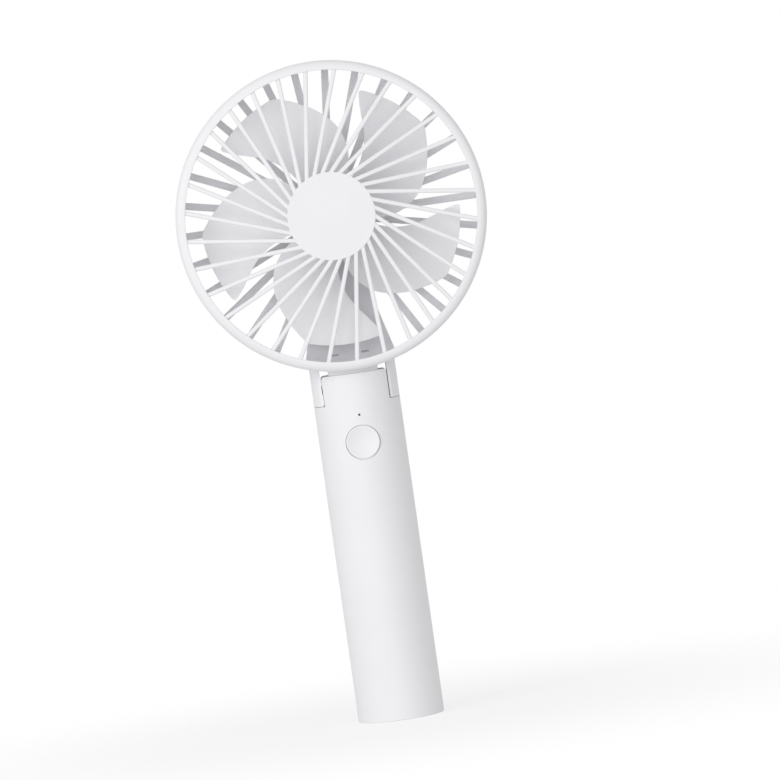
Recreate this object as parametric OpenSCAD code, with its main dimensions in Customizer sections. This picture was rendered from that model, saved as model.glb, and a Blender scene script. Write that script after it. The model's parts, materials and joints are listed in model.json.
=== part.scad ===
// Folding handheld fan: a caged fan head hinged on a cylindrical battery handle.
// Millimetres. The origin is the centre of the handle's flat base, +Z runs up the handle,
// and the button and the front grille face -Y.

/* [Handle] */
// Outer diameter of the handle
handle_d = 30; // [29:0.5:32]
// Length of the handle from its base to the top of the knuckle
handle_len = 121; // [118:0.5:130]
// Wall thickness of the handle shells
handle_wall = 1.8; // [1.4:0.1:2]
// Rounding of the handle's bottom edge
base_round = 0.3; // [0.3:0.1:1.2]
// Diameter of the soft pad in the base
pad_d = 23.6; // [18:0.2:25]
// Thickness of the soft pad in the base
pad_t = 1.2; // [0.8:0.1:1.6]

/* [Hinge] */
// Half of the distance between the inner faces of the two ears
ear_x = 11.7; // [11.4:0.1:12]
// How far the ears reach down beside the knuckle
ear_len = 10; // [9.6:0.1:11]
// Gap between an ear and the handle
ear_gap = 0.35; // [0.3:0.05:0.5]
// Distance of the hinge axis behind the handle's axis
pivot_y = 4.5; // [4.3:0.1:4.8]
// Diameter of a hinge pin
pin_d = 3; // [2.6:0.1:3.2]
// Bore of a hinge pin, which carries the motor lead
pin_bore = 1.6; // [1.5:0.1:1.8]
// How far a hinge pin is pressed into its ear
pin_seat = 1.6; // [1.4:0.1:1.7]
// Outer diameter of a hinge bush
bush_d = 5; // [4.6:0.1:5.4]
// Length of a hinge bush
bush_len = 3.05; // [2.6:0.05:3.2]
// Running clearance, on the radius, of a turning pin or shaft
run_fit = 0.05; // [0.03:0.01:0.08]

/* [Head] */
// Outer diameter of the grille ring
ring_d = 107; // [104:1:114]
// Width of the ring's front and rear flanges
flange_w = 3.5; // [3:0.1:5]
// Wall thickness of the ring
ring_wall = 2; // [1.6:0.1:2.4]
// Thickness of the ring's flanges
flange_t = 2.6; // [2:0.1:3]
// Gap between the ring and the top of the handle
neck_gap = 1.2; // [0.6:0.05:1.6]
// Y of the ring's front face
ring_front = -20.5; // [-21.5:0.5:-19.5]
// Y of the joint between the front and the rear grille
ring_split = -9.7; // [-10.5:0.1:-9.6]
// Y of the ring's rear face
ring_rear = 4; // [3.6:0.1:4]
// Diameter of the disc in the middle of the front grille
disc_d = 30; // [29:0.5:33]
// Thickness of the disc
disc_t = 2; // [1.4:0.1:2.6]
// How far the disc stands in front of the ring
disc_proud = 1.5; // [0.5:0.1:2.5]
// Number of ribs in the front grille
front_ribs = 32; // [24:1:36]
// Width of a front rib
front_rib_w = 1.5; // [1.1:0.1:1.8]
// Depth of a front rib where it meets the ring
front_rib_depth = 3.6; // [2.6:0.2:4]
// Distance of a front rib's line from the fan's axis, which gives the sweep
rib_sweep = 8.3; // [6:0.1:9]
// Number of 12 degree places in the rear grille, of which the neck plate takes some
rear_places = 30; // [30:1:30]
// Width of a rear rib
rear_rib_w = 2.5; // [1.6:0.1:3]
// Thickness of a rear rib
rear_rib_t = 2; // [1.6:0.1:2.4]
// Thickness of the neck plate with its cover
neck_t = 2.8; // [2.6:0.1:3.2]
// Half width of the neck plate at the ring
neck_half_out = 16; // [13:0.2:18]
// Half width of the neck plate at the motor cup
neck_half_in = 6; // [5.8:0.2:8]

/* [Motor] */
// Diameter of the motor can
motor_d = 23; // [22:0.5:23]
// Length of the motor can
motor_len = 14; // [13:0.5:14]
// Y of the motor's front face
motor_front = -4; // [-4.5:0.1:-3.8]
// Thickness of the motor can
can_t = 0.8; // [0.6:0.1:1]
// Clearance, on the radius, of the motor in its cup
motor_fit = 0.2; // [0.1:0.05:0.3]
// Wall of the motor cup
cup_wall = 1.4; // [1.2:0.1:1.6]
// Diameter of the motor shaft
shaft_d = 2; // [1.6:0.1:2.4]
// Outer diameter of a motor bush
motor_bush_d = 5; // [4.6:0.2:5.6]
// Distance of a motor screw from the fan's axis
motor_screw_r = 7.5; // [7:0.1:8]

/* [Impeller] */
// Radius of the blade tips
blade_tip_r = 45; // [42:0.5:47]
// Number of blades
blades = 5; // [3:1:6]
// Thickness of a blade
blade_t = 1.6; // [1.2:0.1:2]
// Pitch of a blade in degrees
blade_pitch = 16; // [10:1:18]
// Radius of the blade's camber
blade_camber_r = 60; // [55:1:90]
// Radial gap between the motor cup and the hub's skirt
hub_gap = 0.4; // [0.3:0.05:0.6]
// Wall of the hub
hub_wall = 1.3; // [1:0.1:1.5]
// Length of the hub
hub_len = 13.5; // [12:0.5:13.5]

/* [Button and light] */
// Diameter of the power button
button_d = 12; // [10:0.5:13]
// Distance of the power button below the top of the handle
button_drop = 24; // [22:0.5:25]
// Gap round the power button
button_gap = 0.3; // [0.3:0.05:0.5]
// Travel of the power button
button_travel = 0.5; // [0.3:0.1:0.7]
// Diameter of the light pipe
light_d = 1; // [0.8:0.1:1.6]
// Distance of the light below the top of the handle
light_drop = 14.4; // [14:0.2:15]

/* [Power] */
// Diameter of the cell
cell_d = 18.4; // [17:0.2:18.6]
// Length of the control board; the cell takes the rest of the handle
board_len = 25.7; // [25:0.1:30]
// Half width of the control board
board_half_w = 8.5; // [7.5:0.1:8.8]
// Thickness of the control board
board_t = 1.6; // [1:0.1:2]
// Y of the control board's front face
board_front = 0.5; // [0.3:0.1:1]
// Width of the charging socket
usb_w = 8.94; // [8.5:0.02:9.2]
// Height of the charging socket
usb_h = 3.2; // [3:0.1:3.6]
// Diameter of a lead
lead_d = 1.2; // [0.9:0.1:1.2]

/* [Hidden] */
$fn = 96;
// Small overlap that lets joined shapes share material
eps = 0.4;
// Clearance of a piece that is seated in another one of the same body
seat_fit = 0.02;
handle_r = handle_d / 2;
bore_r = handle_r - handle_wall;
pivot_z = handle_len - ear_len / 2;
ear_bottom = handle_len - ear_len;
ledge_z = ear_bottom - ear_gap;
knuckle_x = ear_x - ear_gap;
knuckle_r = ear_len / 2;
ring_r = ring_d / 2;
head_z = handle_len + neck_gap + ring_r;
cup_bore = motor_d / 2 + motor_fit;
cup_r = cup_bore + cup_wall;
cup_front = motor_front - 1.5;
motor_rear = motor_front + motor_len;
cup_rear = motor_rear + 2.5;
hub_bore = cup_r + hub_gap;
hub_r = hub_bore + hub_wall;
hub_front = ring_front + 4;
disc_front = ring_front - disc_proud;
button_z = handle_len - button_drop;
light_z = handle_len - light_drop;
board_back = board_front + board_t;
light_grey = [0.90, 0.91, 0.92];
white = [0.95, 0.95, 0.96];
pale_grey = [0.83, 0.84, 0.86];
steel = [0.72, 0.73, 0.75];
copper = [0.78, 0.45, 0.22];
brass = [0.80, 0.66, 0.33];
black = [0.12, 0.12, 0.13];

// Shell screws
boss_d = 5;
screw_d = 2;
screw_head_d = 3.8;
screw_head_t = 1.4;
screw_bore = screw_d + 2 * seat_fit;
counterbore_d = screw_head_d + 0.4;
counterbore_y = 8;
screw_tip = -6;

// Heights inside the handle: the cell's seat stacked from the base, the board hung from the light,
// and the cell as long as the room between them
boss_gap = 0.5;
board_above_light = 3.2;
floor_z = pad_t + handle_wall;
low_screw_z = floor_z + boss_d / 2 + boss_gap;
seat_t = 1.5;
seat_z = low_screw_z + boss_d / 2 + boss_gap + seat_t;
cell_pad_t = 1;
tab_t = 0.3;
cell_z = seat_z + cell_pad_t + tab_t;
cell_cap_t = 1;
cell_cap_d = 6;
board_top = light_z + board_above_light;
board_bottom = board_top - board_len;
high_screw_z = board_bottom - boss_d / 2 - boss_gap;
cell_top = high_screw_z - boss_d / 2 - boss_gap;
cell_len = cell_top - cell_cap_t - tab_t - cell_z;
tab_w = 5;
tab_reach = 4;
high_tab = [8, 6.5];
high_tab_corner = [-3, -2.5];
cell_fit = 0.15;
cell_rib_t = 2;
cell_rib_inset = 10;

// Board screws, at two opposite corners
board_screw_inset = 2.2;
board_screw_spots = [[board_screw_inset - board_half_w, board_bottom + 2.5],
                     [board_half_w - board_screw_inset, board_top - 2.5]];
post_d = 4.2;
board_screw_d = 1.6;
board_screw_len = 6;
board_screw_head_d = 3;
board_screw_head_t = 1;

// Charging socket in the back of the handle
usb_z = board_bottom + 8;
usb_gap = 0.3;
usb_face = handle_r - 0.6;

// Lead routes
lead_x = ear_x + 0.9;
lead_bore = lead_d + 0.2;
pin_slot_w = lead_bore + 0.8;
// Room behind a hinge bush in which the lead turns down
lead_turn = 2.5;
cell_lead_r = (bore_r + cell_d / 2) / 2;
cell_lead_angle = 135;

module along_x(x0, x1, d, y, z) {
    translate([x0, y, z]) rotate([0, 90, 0]) cylinder(d = d, h = x1 - x0);
}

module along_y(y0, y1, d, x = 0, z = 0) {
    translate([x, y0, z]) rotate([-90, 0, 0]) cylinder(d = d, h = y1 - y0);
}

// Children drawn in the front view, as X and Z, and given depth from y0 to y1
module front_view(y0, y1) {
    translate([0, y1, 0]) rotate([90, 0, 0]) linear_extrude(y1 - y0) children();
}

// A profile of [radius, y] points turned about the fan's axis
module fan_turn(profile) {
    translate([0, 0, head_z]) rotate([-90, 0, 0]) rotate_extrude() polygon(profile);
}

// Children placed on the fan's axis at an angle seen from the front, with their x axis outwards
module fan_place(angle) {
    translate([0, 0, head_z]) rotate([-90, 0, 0]) rotate([0, 0, -angle]) children();
}

module both_sides() {
    children();
    mirror([1, 0, 0]) children();
}

// A round lead swept along a list of points: one ring of corners at each point
module lead_run(points, d) {
    sides = 10;
    last = len(points) - 1;
    ways = [for (i = [0 : last - 1]) (points[i + 1] - points[i]) / norm(points[i + 1] - points[i])];
    aims = [for (i = [0 : last]) let (way = ways[max(i - 1, 0)] + ways[min(i, last - 1)]) way / norm(way)];
    across = cross(ways[0], abs(ways[0].z) < 0.9 ? [0, 0, 1] : [0, 1, 0]);
    sides_x = lead_sides(ways, across / norm(across));
    corners = [for (i = [0 : last]) each lead_ring(points[i], aims[i], ways[max(i - 1, 0)],
        sides_x[max(i - 1, 0)], d / 2, sides)];
    walls = [for (i = [0 : last - 1]) for (k = [0 : sides - 1]) let (n = (k + 1) % sides)
        each [[i * sides + k, (i + 1) * sides + k, i * sides + n],
              [i * sides + n, (i + 1) * sides + k, (i + 1) * sides + n]]];
    ends = [[for (k = [0 : sides - 1]) k], [for (k = [sides - 1 : -1 : 0]) last * sides + k]];
    polyhedron(corners, concat(walls, ends));
}

// The sideways direction of each straight stretch, carried on from the one before it
function lead_sides(ways, start, i = 0) = i >= len(ways) ? [] :
    let (flat = start - (start * ways[i]) * ways[i], side = flat / norm(flat))
    concat([side], lead_sides(ways, side, i + 1));

// Corners of the lead at a point: a circle round the stretch, slid along it to the bend's mitre
function lead_ring(point, aim, way, side, r, sides) = [for (k = [0 : sides - 1])
    let (angle = k * 360 / sides, spoke = r * (cos(angle) * side + sin(angle) * cross(way, side)))
    point + spoke - ((spoke * aim) / (way * aim)) * way];

// Rounded slot in the front view, centred on x = 0
module slot_outline(w, h, z) {
    translate([0, z]) {
        square([w - h, h], center = true);
        for (side = [-1, 1])
            translate([side * (w - h) / 2, 0]) circle(d = h, $fn = 48);
    }
}

// The handle's outer form: a cylinder whose top is cut back to a knuckle between the ears
module handle_form() {
    corner = 1;
    bottom_arc = [for (a = [-90 : 15 : 0])
        [handle_r - base_round + base_round * cos(a), base_round + base_round * sin(a)]];
    difference() {
        rotate_extrude() polygon(concat([[0, 0]], bottom_arc, [[handle_r, handle_len], [0, handle_len]]));
        both_sides() {
            translate([knuckle_x, -handle_r - 1, ledge_z])
                cube([handle_r, handle_d + 2, handle_len]);
            difference() {
                translate([knuckle_x - corner, -handle_r - 1, handle_len - corner])
                    cube([2 * corner, handle_d + 2, 2 * corner]);
                along_y(-handle_r - 2, handle_r + 2, 2 * corner, knuckle_x - corner, handle_len - corner);
            }
        }
        difference() {
            translate([-handle_r, pivot_y, ledge_z])
                cube([handle_d, handle_r, handle_len]);
            along_x(-handle_r - 1, handle_r + 1, 2 * knuckle_r, pivot_y, pivot_z);
            translate([-handle_r - 1, pivot_y - 1, ledge_z - 1])
                cube([handle_d + 2, knuckle_r + 1, pivot_z - ledge_z + 1]);
        }
    }
}

module handle_hollow() {
    inner_x = knuckle_x - handle_wall;
    inner_back = knuckle_r - handle_wall;
    translate([0, 0, floor_z]) cylinder(r = bore_r, h = ledge_z - handle_wall - floor_z);
    intersection() {
        translate([0, 0, floor_z]) cylinder(r = bore_r, h = handle_len - handle_wall - floor_z);
        union() {
            translate([-inner_x, -handle_r, floor_z])
                cube([2 * inner_x, handle_r + pivot_y, handle_len]);
            translate([-inner_x, -handle_r, floor_z])
                cube([2 * inner_x, handle_r + pivot_y + inner_back, pivot_z - floor_z]);
        }
    }
}

// Rings that hold the cell and the plate that it stands on
module cell_supports() {
    for (z = [cell_z + cell_rib_inset, cell_z + cell_len - cell_rib_inset])
        translate([0, 0, z]) difference() {
            cylinder(r = bore_r + eps, h = cell_rib_t);
            translate([0, 0, -1]) cylinder(r = cell_d / 2 + cell_fit, h = cell_rib_t + 2);
        }
    translate([0, 0, seat_z - seat_t]) cylinder(r = bore_r + eps, h = seat_t);
}

// Half of the hollow handle: side -1 is the front, side 1 the rear
module handle_half(side) {
    intersection() {
        union() {
            difference() {
                handle_form();
                handle_hollow();
            }
            cell_supports();
        }
        translate([-handle_d, side < 0 ? -handle_d : 0, -1])
            cube([2 * handle_d, handle_d, handle_len + 2]);
    }
}

module pad_recess() {
    translate([0, 0, -1]) cylinder(d = pad_d + 2 * seat_fit, h = pad_t + 1);
}

// The groove past the cell's supports that the cell's lead lies in
module cell_lead_groove() {
    translate([cell_lead_r * cos(cell_lead_angle), cell_lead_r * sin(cell_lead_angle), seat_z - seat_t - 1])
        cylinder(d = lead_d + 0.8, h = cell_len + 10, $fn = 24);
}

module handle_front_shell() {
    color(white) difference() {
        union() {
            handle_half(-1);
            for (z = [low_screw_z, high_screw_z])
                along_y(-bore_r - eps, 0, boss_d, 0, z);
        }
        for (z = [low_screw_z, high_screw_z])
            along_y(screw_tip - 1, 1, screw_bore, 0, z);
        along_y(-handle_r - 1, -bore_r / 2, button_d + 2 * button_gap, 0, button_z);
        along_y(-handle_r - 1, -bore_r / 2, light_d + 2 * seat_fit, 0, light_z);
        pad_recess();
    }
}

module handle_rear_shell() {
    color(white) difference() {
        union() {
            handle_half(1);
            for (z = [low_screw_z, high_screw_z])
                along_y(0, bore_r + eps, boss_d, 0, z);
            for (spot = board_screw_spots)
                along_y(board_back, sqrt(pow(handle_r, 2) - pow(abs(spot.x) + post_d / 2, 2)) - eps,
                    post_d, spot.x, spot.y);
            both_sides()
                along_x(knuckle_x - bush_len, knuckle_x - handle_wall + eps, bush_d + 3, pivot_y, pivot_z);
        }
        for (z = [low_screw_z, high_screw_z]) {
            along_y(-1, handle_r, screw_bore, 0, z);
            along_y(counterbore_y, handle_r + 1, counterbore_d, 0, z);
        }
        for (spot = board_screw_spots)
            along_y(board_back - 1, board_back + board_screw_len, board_screw_d + 2 * seat_fit, spot.x, spot.y);
        both_sides()
            along_x(knuckle_x - bush_len - lead_turn, knuckle_x + 1, bush_d + 2 * seat_fit, pivot_y, pivot_z);
        front_view(board_back, handle_r + 1) slot_outline(usb_w + 2 * usb_gap, usb_h + 2 * usb_gap, usb_z);
        pad_recess();
        cell_lead_groove();
    }
}

module base_pad() {
    color(pale_grey) cylinder(d = pad_d, h = pad_t - seat_fit);
}

module shell_screws() {
    color(steel) for (z = [low_screw_z, high_screw_z]) difference() {
        union() {
            along_y(screw_tip, counterbore_y, screw_d, 0, z);
            along_y(counterbore_y, counterbore_y + screw_head_t, screw_head_d, 0, z);
        }
        for (turn = [0, 90])
            translate([0, counterbore_y + screw_head_t, z]) rotate([0, turn, 0])
                cube([2.4, 1.4, 0.5], center = true);
    }
}

module hinge_bushes() {
    color(brass) both_sides() difference() {
        along_x(knuckle_x - bush_len, knuckle_x, bush_d, pivot_y, pivot_z);
        along_x(0, handle_r, pin_d + 2 * run_fit, pivot_y, pivot_z);
    }
}

// Hollow pins, slotted at the outer end so that the lead can turn into the bore
module hinge_pins() {
    color(steel) both_sides() difference() {
        along_x(knuckle_x - bush_len, ear_x + pin_seat, pin_d, pivot_y, pivot_z);
        along_x(0, handle_r, pin_bore, pivot_y, pivot_z);
        translate([lead_x - lead_bore / 2, pivot_y - pin_slot_w / 2, pivot_z])
            cube([handle_r, pin_slot_w, pin_d]);
    }
}

// Head: radii and depths that several pieces share
disc_r = disc_d / 2;
skirt_rear = hub_front - 1;
flange_r = ring_r - flange_w;
lip_fit = 0.15;
lip_r = ring_r - ring_wall - lip_fit;
lip_t = 1;
lip_len = 2;
ring_bore = lip_r - lip_t;
edge_cut = 1;
rib_step = 0.4;
motor_boss_r = 4;
cup_hole_r = motor_boss_r + 0.2;
neck_pad_x = 8.6;
cover_inset = 1.2;
cover_fit = 0.1;
cover_in = cup_r + 2.5;
cover_out = flange_r - 1;
neck_screw_d = 1.6;
neck_screw_head_d = 3;
neck_screw_head_t = 0.9;
neck_screw_r = [cover_in + 5, cover_out - 6];
neck_slot_x = 5.3;
neck_slot_r = flange_r - 1.8;
neck_slot_w = 2.6;
neck_slot_h = 0.7;
neck_slot_depth = 1.2;
motor_screw_len = cup_front < motor_front ? motor_front - cup_front + can_t : can_t;
motor_screw_head_t = 1.2;

// Y of the rear grille's back at a radius: a straight slope from just below the motor cup's rim to
// just below the ring's rear face
slope_top = cup_rear - 0.5;
slope_foot = ring_rear - 0.3;
function rear_y(r) = slope_top + (slope_foot - slope_top) * (r - cup_r) / (flange_r - cup_r);

// Half width of the neck plate at a depth below the fan's axis
function neck_half(depth) =
    neck_half_in + (neck_half_out - neck_half_in) * (depth - cup_r) / (flange_r - cup_r);

// A point of the motor lead in the neck plate
function neck_point(x, z) = [x, rear_y(norm([x, z])) - neck_t / 2, head_z + z];

lead_in_neck = neck_point(-4.5, -cup_r - 2);
lead_at_ring = neck_point(-lead_x, 2 - ring_r);
lead_way = lead_in_neck - lead_at_ring;
lead_in_cup = lead_in_neck + 4 * lead_way / norm(lead_way);
lead_start = [-4.2, motor_rear + 0.9, head_z - 10.2];
lead_at_pin = [-lead_x, pivot_y, pivot_z];
lead_meet = [bush_len / 2 - knuckle_x, pivot_y, pivot_z];

// Children drawn in the side view, as Y and Z, and given width from x0 to x1
module side_view(x0, x1) {
    translate([x0, 0, 0]) rotate([90, 0, 90]) linear_extrude(x1 - x0) children();
}

module neck_outline(inset) {
    near = cup_r - 1;
    far = ring_r;
    translate([0, head_z])
        polygon([[inset - neck_half(near), -near], [neck_half(near) - inset, -near],
                 [neck_half(far) - inset, -far], [inset - neck_half(far), -far]]);
}

// A sloping slab of the rear grille between two radii and two depths in front of its back
module rear_slab(r0, r1, t0, t1) {
    fan_turn([[r0, rear_y(r0) - t1], [r1, rear_y(r1) - t1], [r1, rear_y(r1) - t0], [r0, rear_y(r0) - t0]]);
}

module front_grille() {
    rib_in = sqrt(pow(disc_r - 1, 2) - pow(rib_sweep, 2));
    rib_out = sqrt(pow(flange_r + 1, 2) - pow(rib_sweep, 2));
    outer_lag = asin(rib_sweep / flange_r);
    rib_phase = 2.15;
    color(white) {
        fan_turn([[flange_r, ring_front], [ring_r - edge_cut, ring_front], [ring_r, ring_front + edge_cut],
                  [ring_r, ring_split], [ring_r - ring_wall, ring_split],
                  [ring_r - ring_wall, ring_front + flange_t], [flange_r, ring_front + flange_t]]);
        fan_turn([[0, disc_front], [disc_r - edge_cut, disc_front], [disc_r, disc_front + edge_cut],
                  [disc_r, skirt_rear], [disc_r - disc_t, skirt_rear],
                  [disc_r - disc_t, disc_front + disc_t], [0, disc_front + disc_t]]);
        for (k = [0 : front_ribs - 1])
            fan_place(rib_phase + k * 360 / front_ribs - outer_lag) translate([0, -rib_sweep, 0])
                rotate([90, 0, 0]) linear_extrude(front_rib_w, center = true)
                    polygon([[rib_in, disc_front + edge_cut + rib_step], [rib_out, ring_front + rib_step],
                             [rib_out, ring_front + rib_step + front_rib_depth],
                             [rib_in, skirt_rear - rib_step]]);
    }
}

// One ear and its half of the neck, clear of the space inside the head
module ear() {
    ear_top = head_z - ring_r + 5;
    difference() {
        intersection() {
            translate([0, 0, ear_bottom - 1]) cylinder(r = handle_r, h = 3 * ear_len);
            union() {
                side_view(ear_x, handle_r + 1)
                    polygon([[-handle_r, ear_bottom], [pivot_y, ear_bottom], [pivot_y, pivot_z],
                             [pivot_y + knuckle_r, pivot_z], [pivot_y + knuckle_r, pivot_z + 2],
                             [ring_rear, ear_top], [-handle_r, ear_top]]);
                along_x(ear_x, handle_r + 1, 2 * knuckle_r, pivot_y, pivot_z);
            }
        }
        along_y(ring_split - 5, ring_rear - flange_t, 2 * ring_bore + 1, 0, head_z);
        along_x(0, ear_x + pin_seat, pin_d + 2 * seat_fit, pivot_y, pivot_z);
    }
}

module neck_pad() {
    difference() {
        translate([-neck_pad_x, ring_split + 0.5, handle_len + ear_gap])
            cube([2 * neck_pad_x, ring_rear - ring_split - 0.5, 4]);
        along_y(ring_split - 5, ring_rear - flange_t, 2 * ring_bore + 1, 0, head_z);
    }
}

module rear_grille() {
    rib_angle = 360 / rear_places;
    color(light_grey) difference() {
        union() {
            fan_turn([[ring_bore, ring_split - lip_len], [lip_r, ring_split - lip_len], [lip_r, ring_split],
                      [ring_r, ring_split], [ring_r, ring_rear - edge_cut], [ring_r - edge_cut, ring_rear],
                      [flange_r, ring_rear], [flange_r, ring_rear - flange_t],
                      [ring_bore, ring_rear - flange_t]]);
            fan_turn([[cup_hole_r, cup_front], [cup_r, cup_front], [cup_r, cup_rear], [cup_bore, cup_rear],
                      [cup_bore, motor_front], [cup_hole_r, motor_front]]);
            for (k = [0 : rear_places - 1])
                if (abs(k * rib_angle - 270) > 1.6 * rib_angle)
                    fan_place(k * rib_angle) rotate([90, 0, 0])
                        linear_extrude(rear_rib_w, center = true)
                            polygon([for (p = [[cup_r - 0.5, rear_rib_t], [flange_r + 1, rear_rib_t],
                                               [flange_r + 1, 0], [cup_r - 0.5, 0]])
                                [p.x, rear_y(p.x) - p.y]]);
            intersection() {
                rear_slab(cup_r - 0.5, flange_r + 1, 0, neck_t);
                front_view(ring_split, cup_rear + 1) neck_outline(0);
            }
            both_sides() ear();
            neck_pad();
        }
        intersection() {
            rear_slab(cover_in, cover_out, -1, neck_t / 2);
            front_view(ring_split, cup_rear + 2) neck_outline(cover_inset);
        }
        lead_run([lead_start, lead_in_cup, lead_at_ring, lead_at_pin], lead_bore);
        for (side = [-1, 1]) {
            along_y(cup_front - 1, motor_front + 1, screw_bore, side * motor_screw_r, head_z);
            translate([side * neck_slot_x - neck_slot_w / 2, rear_y(neck_slot_r) - neck_t - 1,
                       head_z - neck_slot_r - neck_slot_h / 2])
                cube([neck_slot_w, 1 + neck_slot_depth, neck_slot_h]);
        }
        for (r = neck_screw_r)
            along_y(rear_y(r) - neck_t - 1, cup_rear, neck_screw_d + 2 * seat_fit, 0, head_z - r);
    }
}

module neck_cover() {
    color(light_grey) difference() {
        intersection() {
            rear_slab(cover_in + cover_fit, cover_out - cover_fit, 0, neck_t / 2 - seat_fit);
            front_view(ring_split, cup_rear + 2) neck_outline(cover_inset + cover_fit);
        }
        lead_run([lead_in_cup, lead_at_ring], lead_bore);
        for (r = neck_screw_r) {
            along_y(ring_split, cup_rear, neck_screw_d + 2 * seat_fit, 0, head_z - r);
            along_y(rear_y(r) - neck_screw_head_t, cup_rear + 1, neck_screw_head_d + 0.3, 0, head_z - r);
        }
    }
}

module neck_screws() {
    color(steel) for (r = neck_screw_r) difference() {
        union() {
            along_y(rear_y(r) - neck_t + 0.2, rear_y(r) - neck_screw_head_t, neck_screw_d, 0, head_z - r);
            along_y(rear_y(r) - neck_screw_head_t, rear_y(r) - 0.1, neck_screw_head_d, 0, head_z - r);
        }
        for (turn = [0, 90])
            translate([0, rear_y(r), head_z - r]) rotate([0, turn, 0])
                cube([1.9, 0.9, 0.4], center = true);
    }
}

module motor_cap() {
    cap_t = 1.5;
    spigot_r = cup_bore - cover_fit;
    vents = 8;
    color(light_grey) difference() {
        union() {
            fan_turn([[0, cup_rear], [cup_r, cup_rear], [cup_r, cup_rear + cap_t - 0.6],
                      [cup_r - 0.6, cup_rear + cap_t], [0, cup_rear + cap_t]]);
            translate([0, 0, head_z]) rotate([-90, 0, 0]) rotate([0, 0, -230]) rotate_extrude(angle = 280)
                polygon([[spigot_r - 1.2, cup_rear - 1.5], [spigot_r, cup_rear - 1.5],
                         [spigot_r, cup_rear + 0.5], [spigot_r - 1.2, cup_rear + 0.5]]);
        }
        for (k = [0 : vents - 1])
            fan_place(k * 360 / vents) translate([4.5, -0.75, cup_rear - 1]) cube([4.5, 1.5, cap_t + 2]);
    }
}

// Motor: depths that its pieces share
bell_rim = 1.5;
bell_plug = 2.5;
core_front = motor_front + 2.5;
core_rear = motor_rear - 6;
core_r = 8.5;
magnet_r = motor_d / 2 - can_t - seat_fit;
magnet_t = 1.7;
winding_t = 1.2;
commutator_r = 3;
brush_gap = 0.4;
motor_bush_bore = shaft_d / 2 + run_fit;
bush_seat_r = motor_bush_d / 2 + seat_fit;
bush_front = motor_front - 1.2;

module motor_can() {
    can_r = motor_d / 2;
    color(steel) difference() {
        fan_turn([[bush_seat_r, bush_front], [motor_boss_r, bush_front], [motor_boss_r, motor_front],
                  [can_r, motor_front], [can_r, motor_rear - bell_rim], [can_r - can_t, motor_rear - bell_rim],
                  [can_r - can_t, motor_front + can_t], [bush_seat_r, motor_front + can_t]]);
        for (side = [-1, 1])
            along_y(motor_front - 1, motor_front + can_t + 1, screw_bore, side * motor_screw_r, head_z);
    }
}

module motor_end_bell() {
    bell_r = motor_d / 2;
    plug_r = bell_r - can_t - seat_fit;
    color(black)
        fan_turn([[bush_seat_r, motor_rear - bell_plug], [plug_r, motor_rear - bell_plug],
                  [plug_r, motor_rear - bell_rim], [bell_r, motor_rear - bell_rim], [bell_r, motor_rear],
                  [bush_seat_r, motor_rear]]);
}

module motor_magnets() {
    color(black) for (turn = [25, 205])
        translate([0, 0, head_z]) rotate([-90, 0, 0]) rotate([0, 0, turn]) rotate_extrude(angle = 130)
            polygon([[magnet_r - magnet_t, core_front - 0.5], [magnet_r, core_front - 0.5],
                     [magnet_r, core_rear + 0.5], [magnet_r - magnet_t, core_rear + 0.5]]);
}

module motor_brushes() {
    brush_len = 4;
    brush_w = 2;
    color(copper) for (angle = [0, 180])
        fan_place(angle) translate([commutator_r + brush_gap, -brush_w / 2, core_rear + winding_t + 0.5])
            cube([brush_len, brush_w, motor_rear - bell_plug - core_rear - winding_t - 0.5]);
}

module motor_bushes() {
    color(brass) for (ends = [[bush_front, motor_front + can_t], [motor_rear - bell_plug, motor_rear]])
        fan_turn([[motor_bush_bore, ends[0]], [motor_bush_d / 2, ends[0]],
                  [motor_bush_d / 2, ends[1]], [motor_bush_bore, ends[1]]]);
}

module motor_terminals() {
    color(brass) for (side = [-1, 1])
        translate([side * 4.2 - 0.8, motor_rear, head_z - 9.3]) cube([1.6, 1.2, 0.6]);
}

module motor_screws() {
    color(steel) for (side = [-1, 1]) {
        along_y(cup_front, cup_front + motor_screw_len, screw_d, side * motor_screw_r, head_z);
        along_y(cup_front - motor_screw_head_t, cup_front, screw_head_d, side * motor_screw_r, head_z);
    }
}

// The lead lies in the neck plate, turns into the hinge pin and ends on the hinge axis
module head_lead() {
    color(black) lead_run([lead_start, lead_in_cup, lead_at_ring, lead_at_pin, lead_meet], lead_d);
}

// Point of a cubic curve with four control points
function curve(p, t) = pow(1 - t, 3) * p[0] + 3 * pow(1 - t, 2) * t * p[1]
    + 3 * (1 - t) * pow(t, 2) * p[2] + pow(t, 3) * p[3];

blade_mid_y = hub_front + 9;
blade_axis = 50;
blade_reach = blade_tip_r + 6;
blade_steps = 10;
leading_edge = [[13.2, -2.8], [27, -4.5], [37.5, 4], [36.4, 26.5]];
trailing_edge = [[15.5, 41.6], [13.5, 32], [19.5, 23.5], [7.9, 10.9]];

// Blade outline seen from the front, open past the tip, where the tip circle closes it
module blade_outline() {
    polygon(concat([for (i = [0 : blade_steps]) curve(leading_edge, i / blade_steps)],
                   [for (angle = [45, 69.5]) blade_reach * [cos(angle), sin(angle)]],
                   [for (i = [0 : blade_steps]) curve(trailing_edge, i / blade_steps)]));
}

// A pitched, cambered sheet that the blade is cut from
module blade_sheet() {
    translate([0, blade_mid_y, head_z]) rotate([0, -blade_axis, 0]) rotate([blade_pitch, 0, 0])
        translate([0, -blade_camber_r, 0]) rotate([0, 90, 0]) difference() {
            cylinder(r = blade_camber_r + blade_t / 2, h = blade_reach);
            translate([0, 0, -1]) cylinder(r = blade_camber_r - blade_t / 2, h = blade_reach + 2);
        }
}

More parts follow.
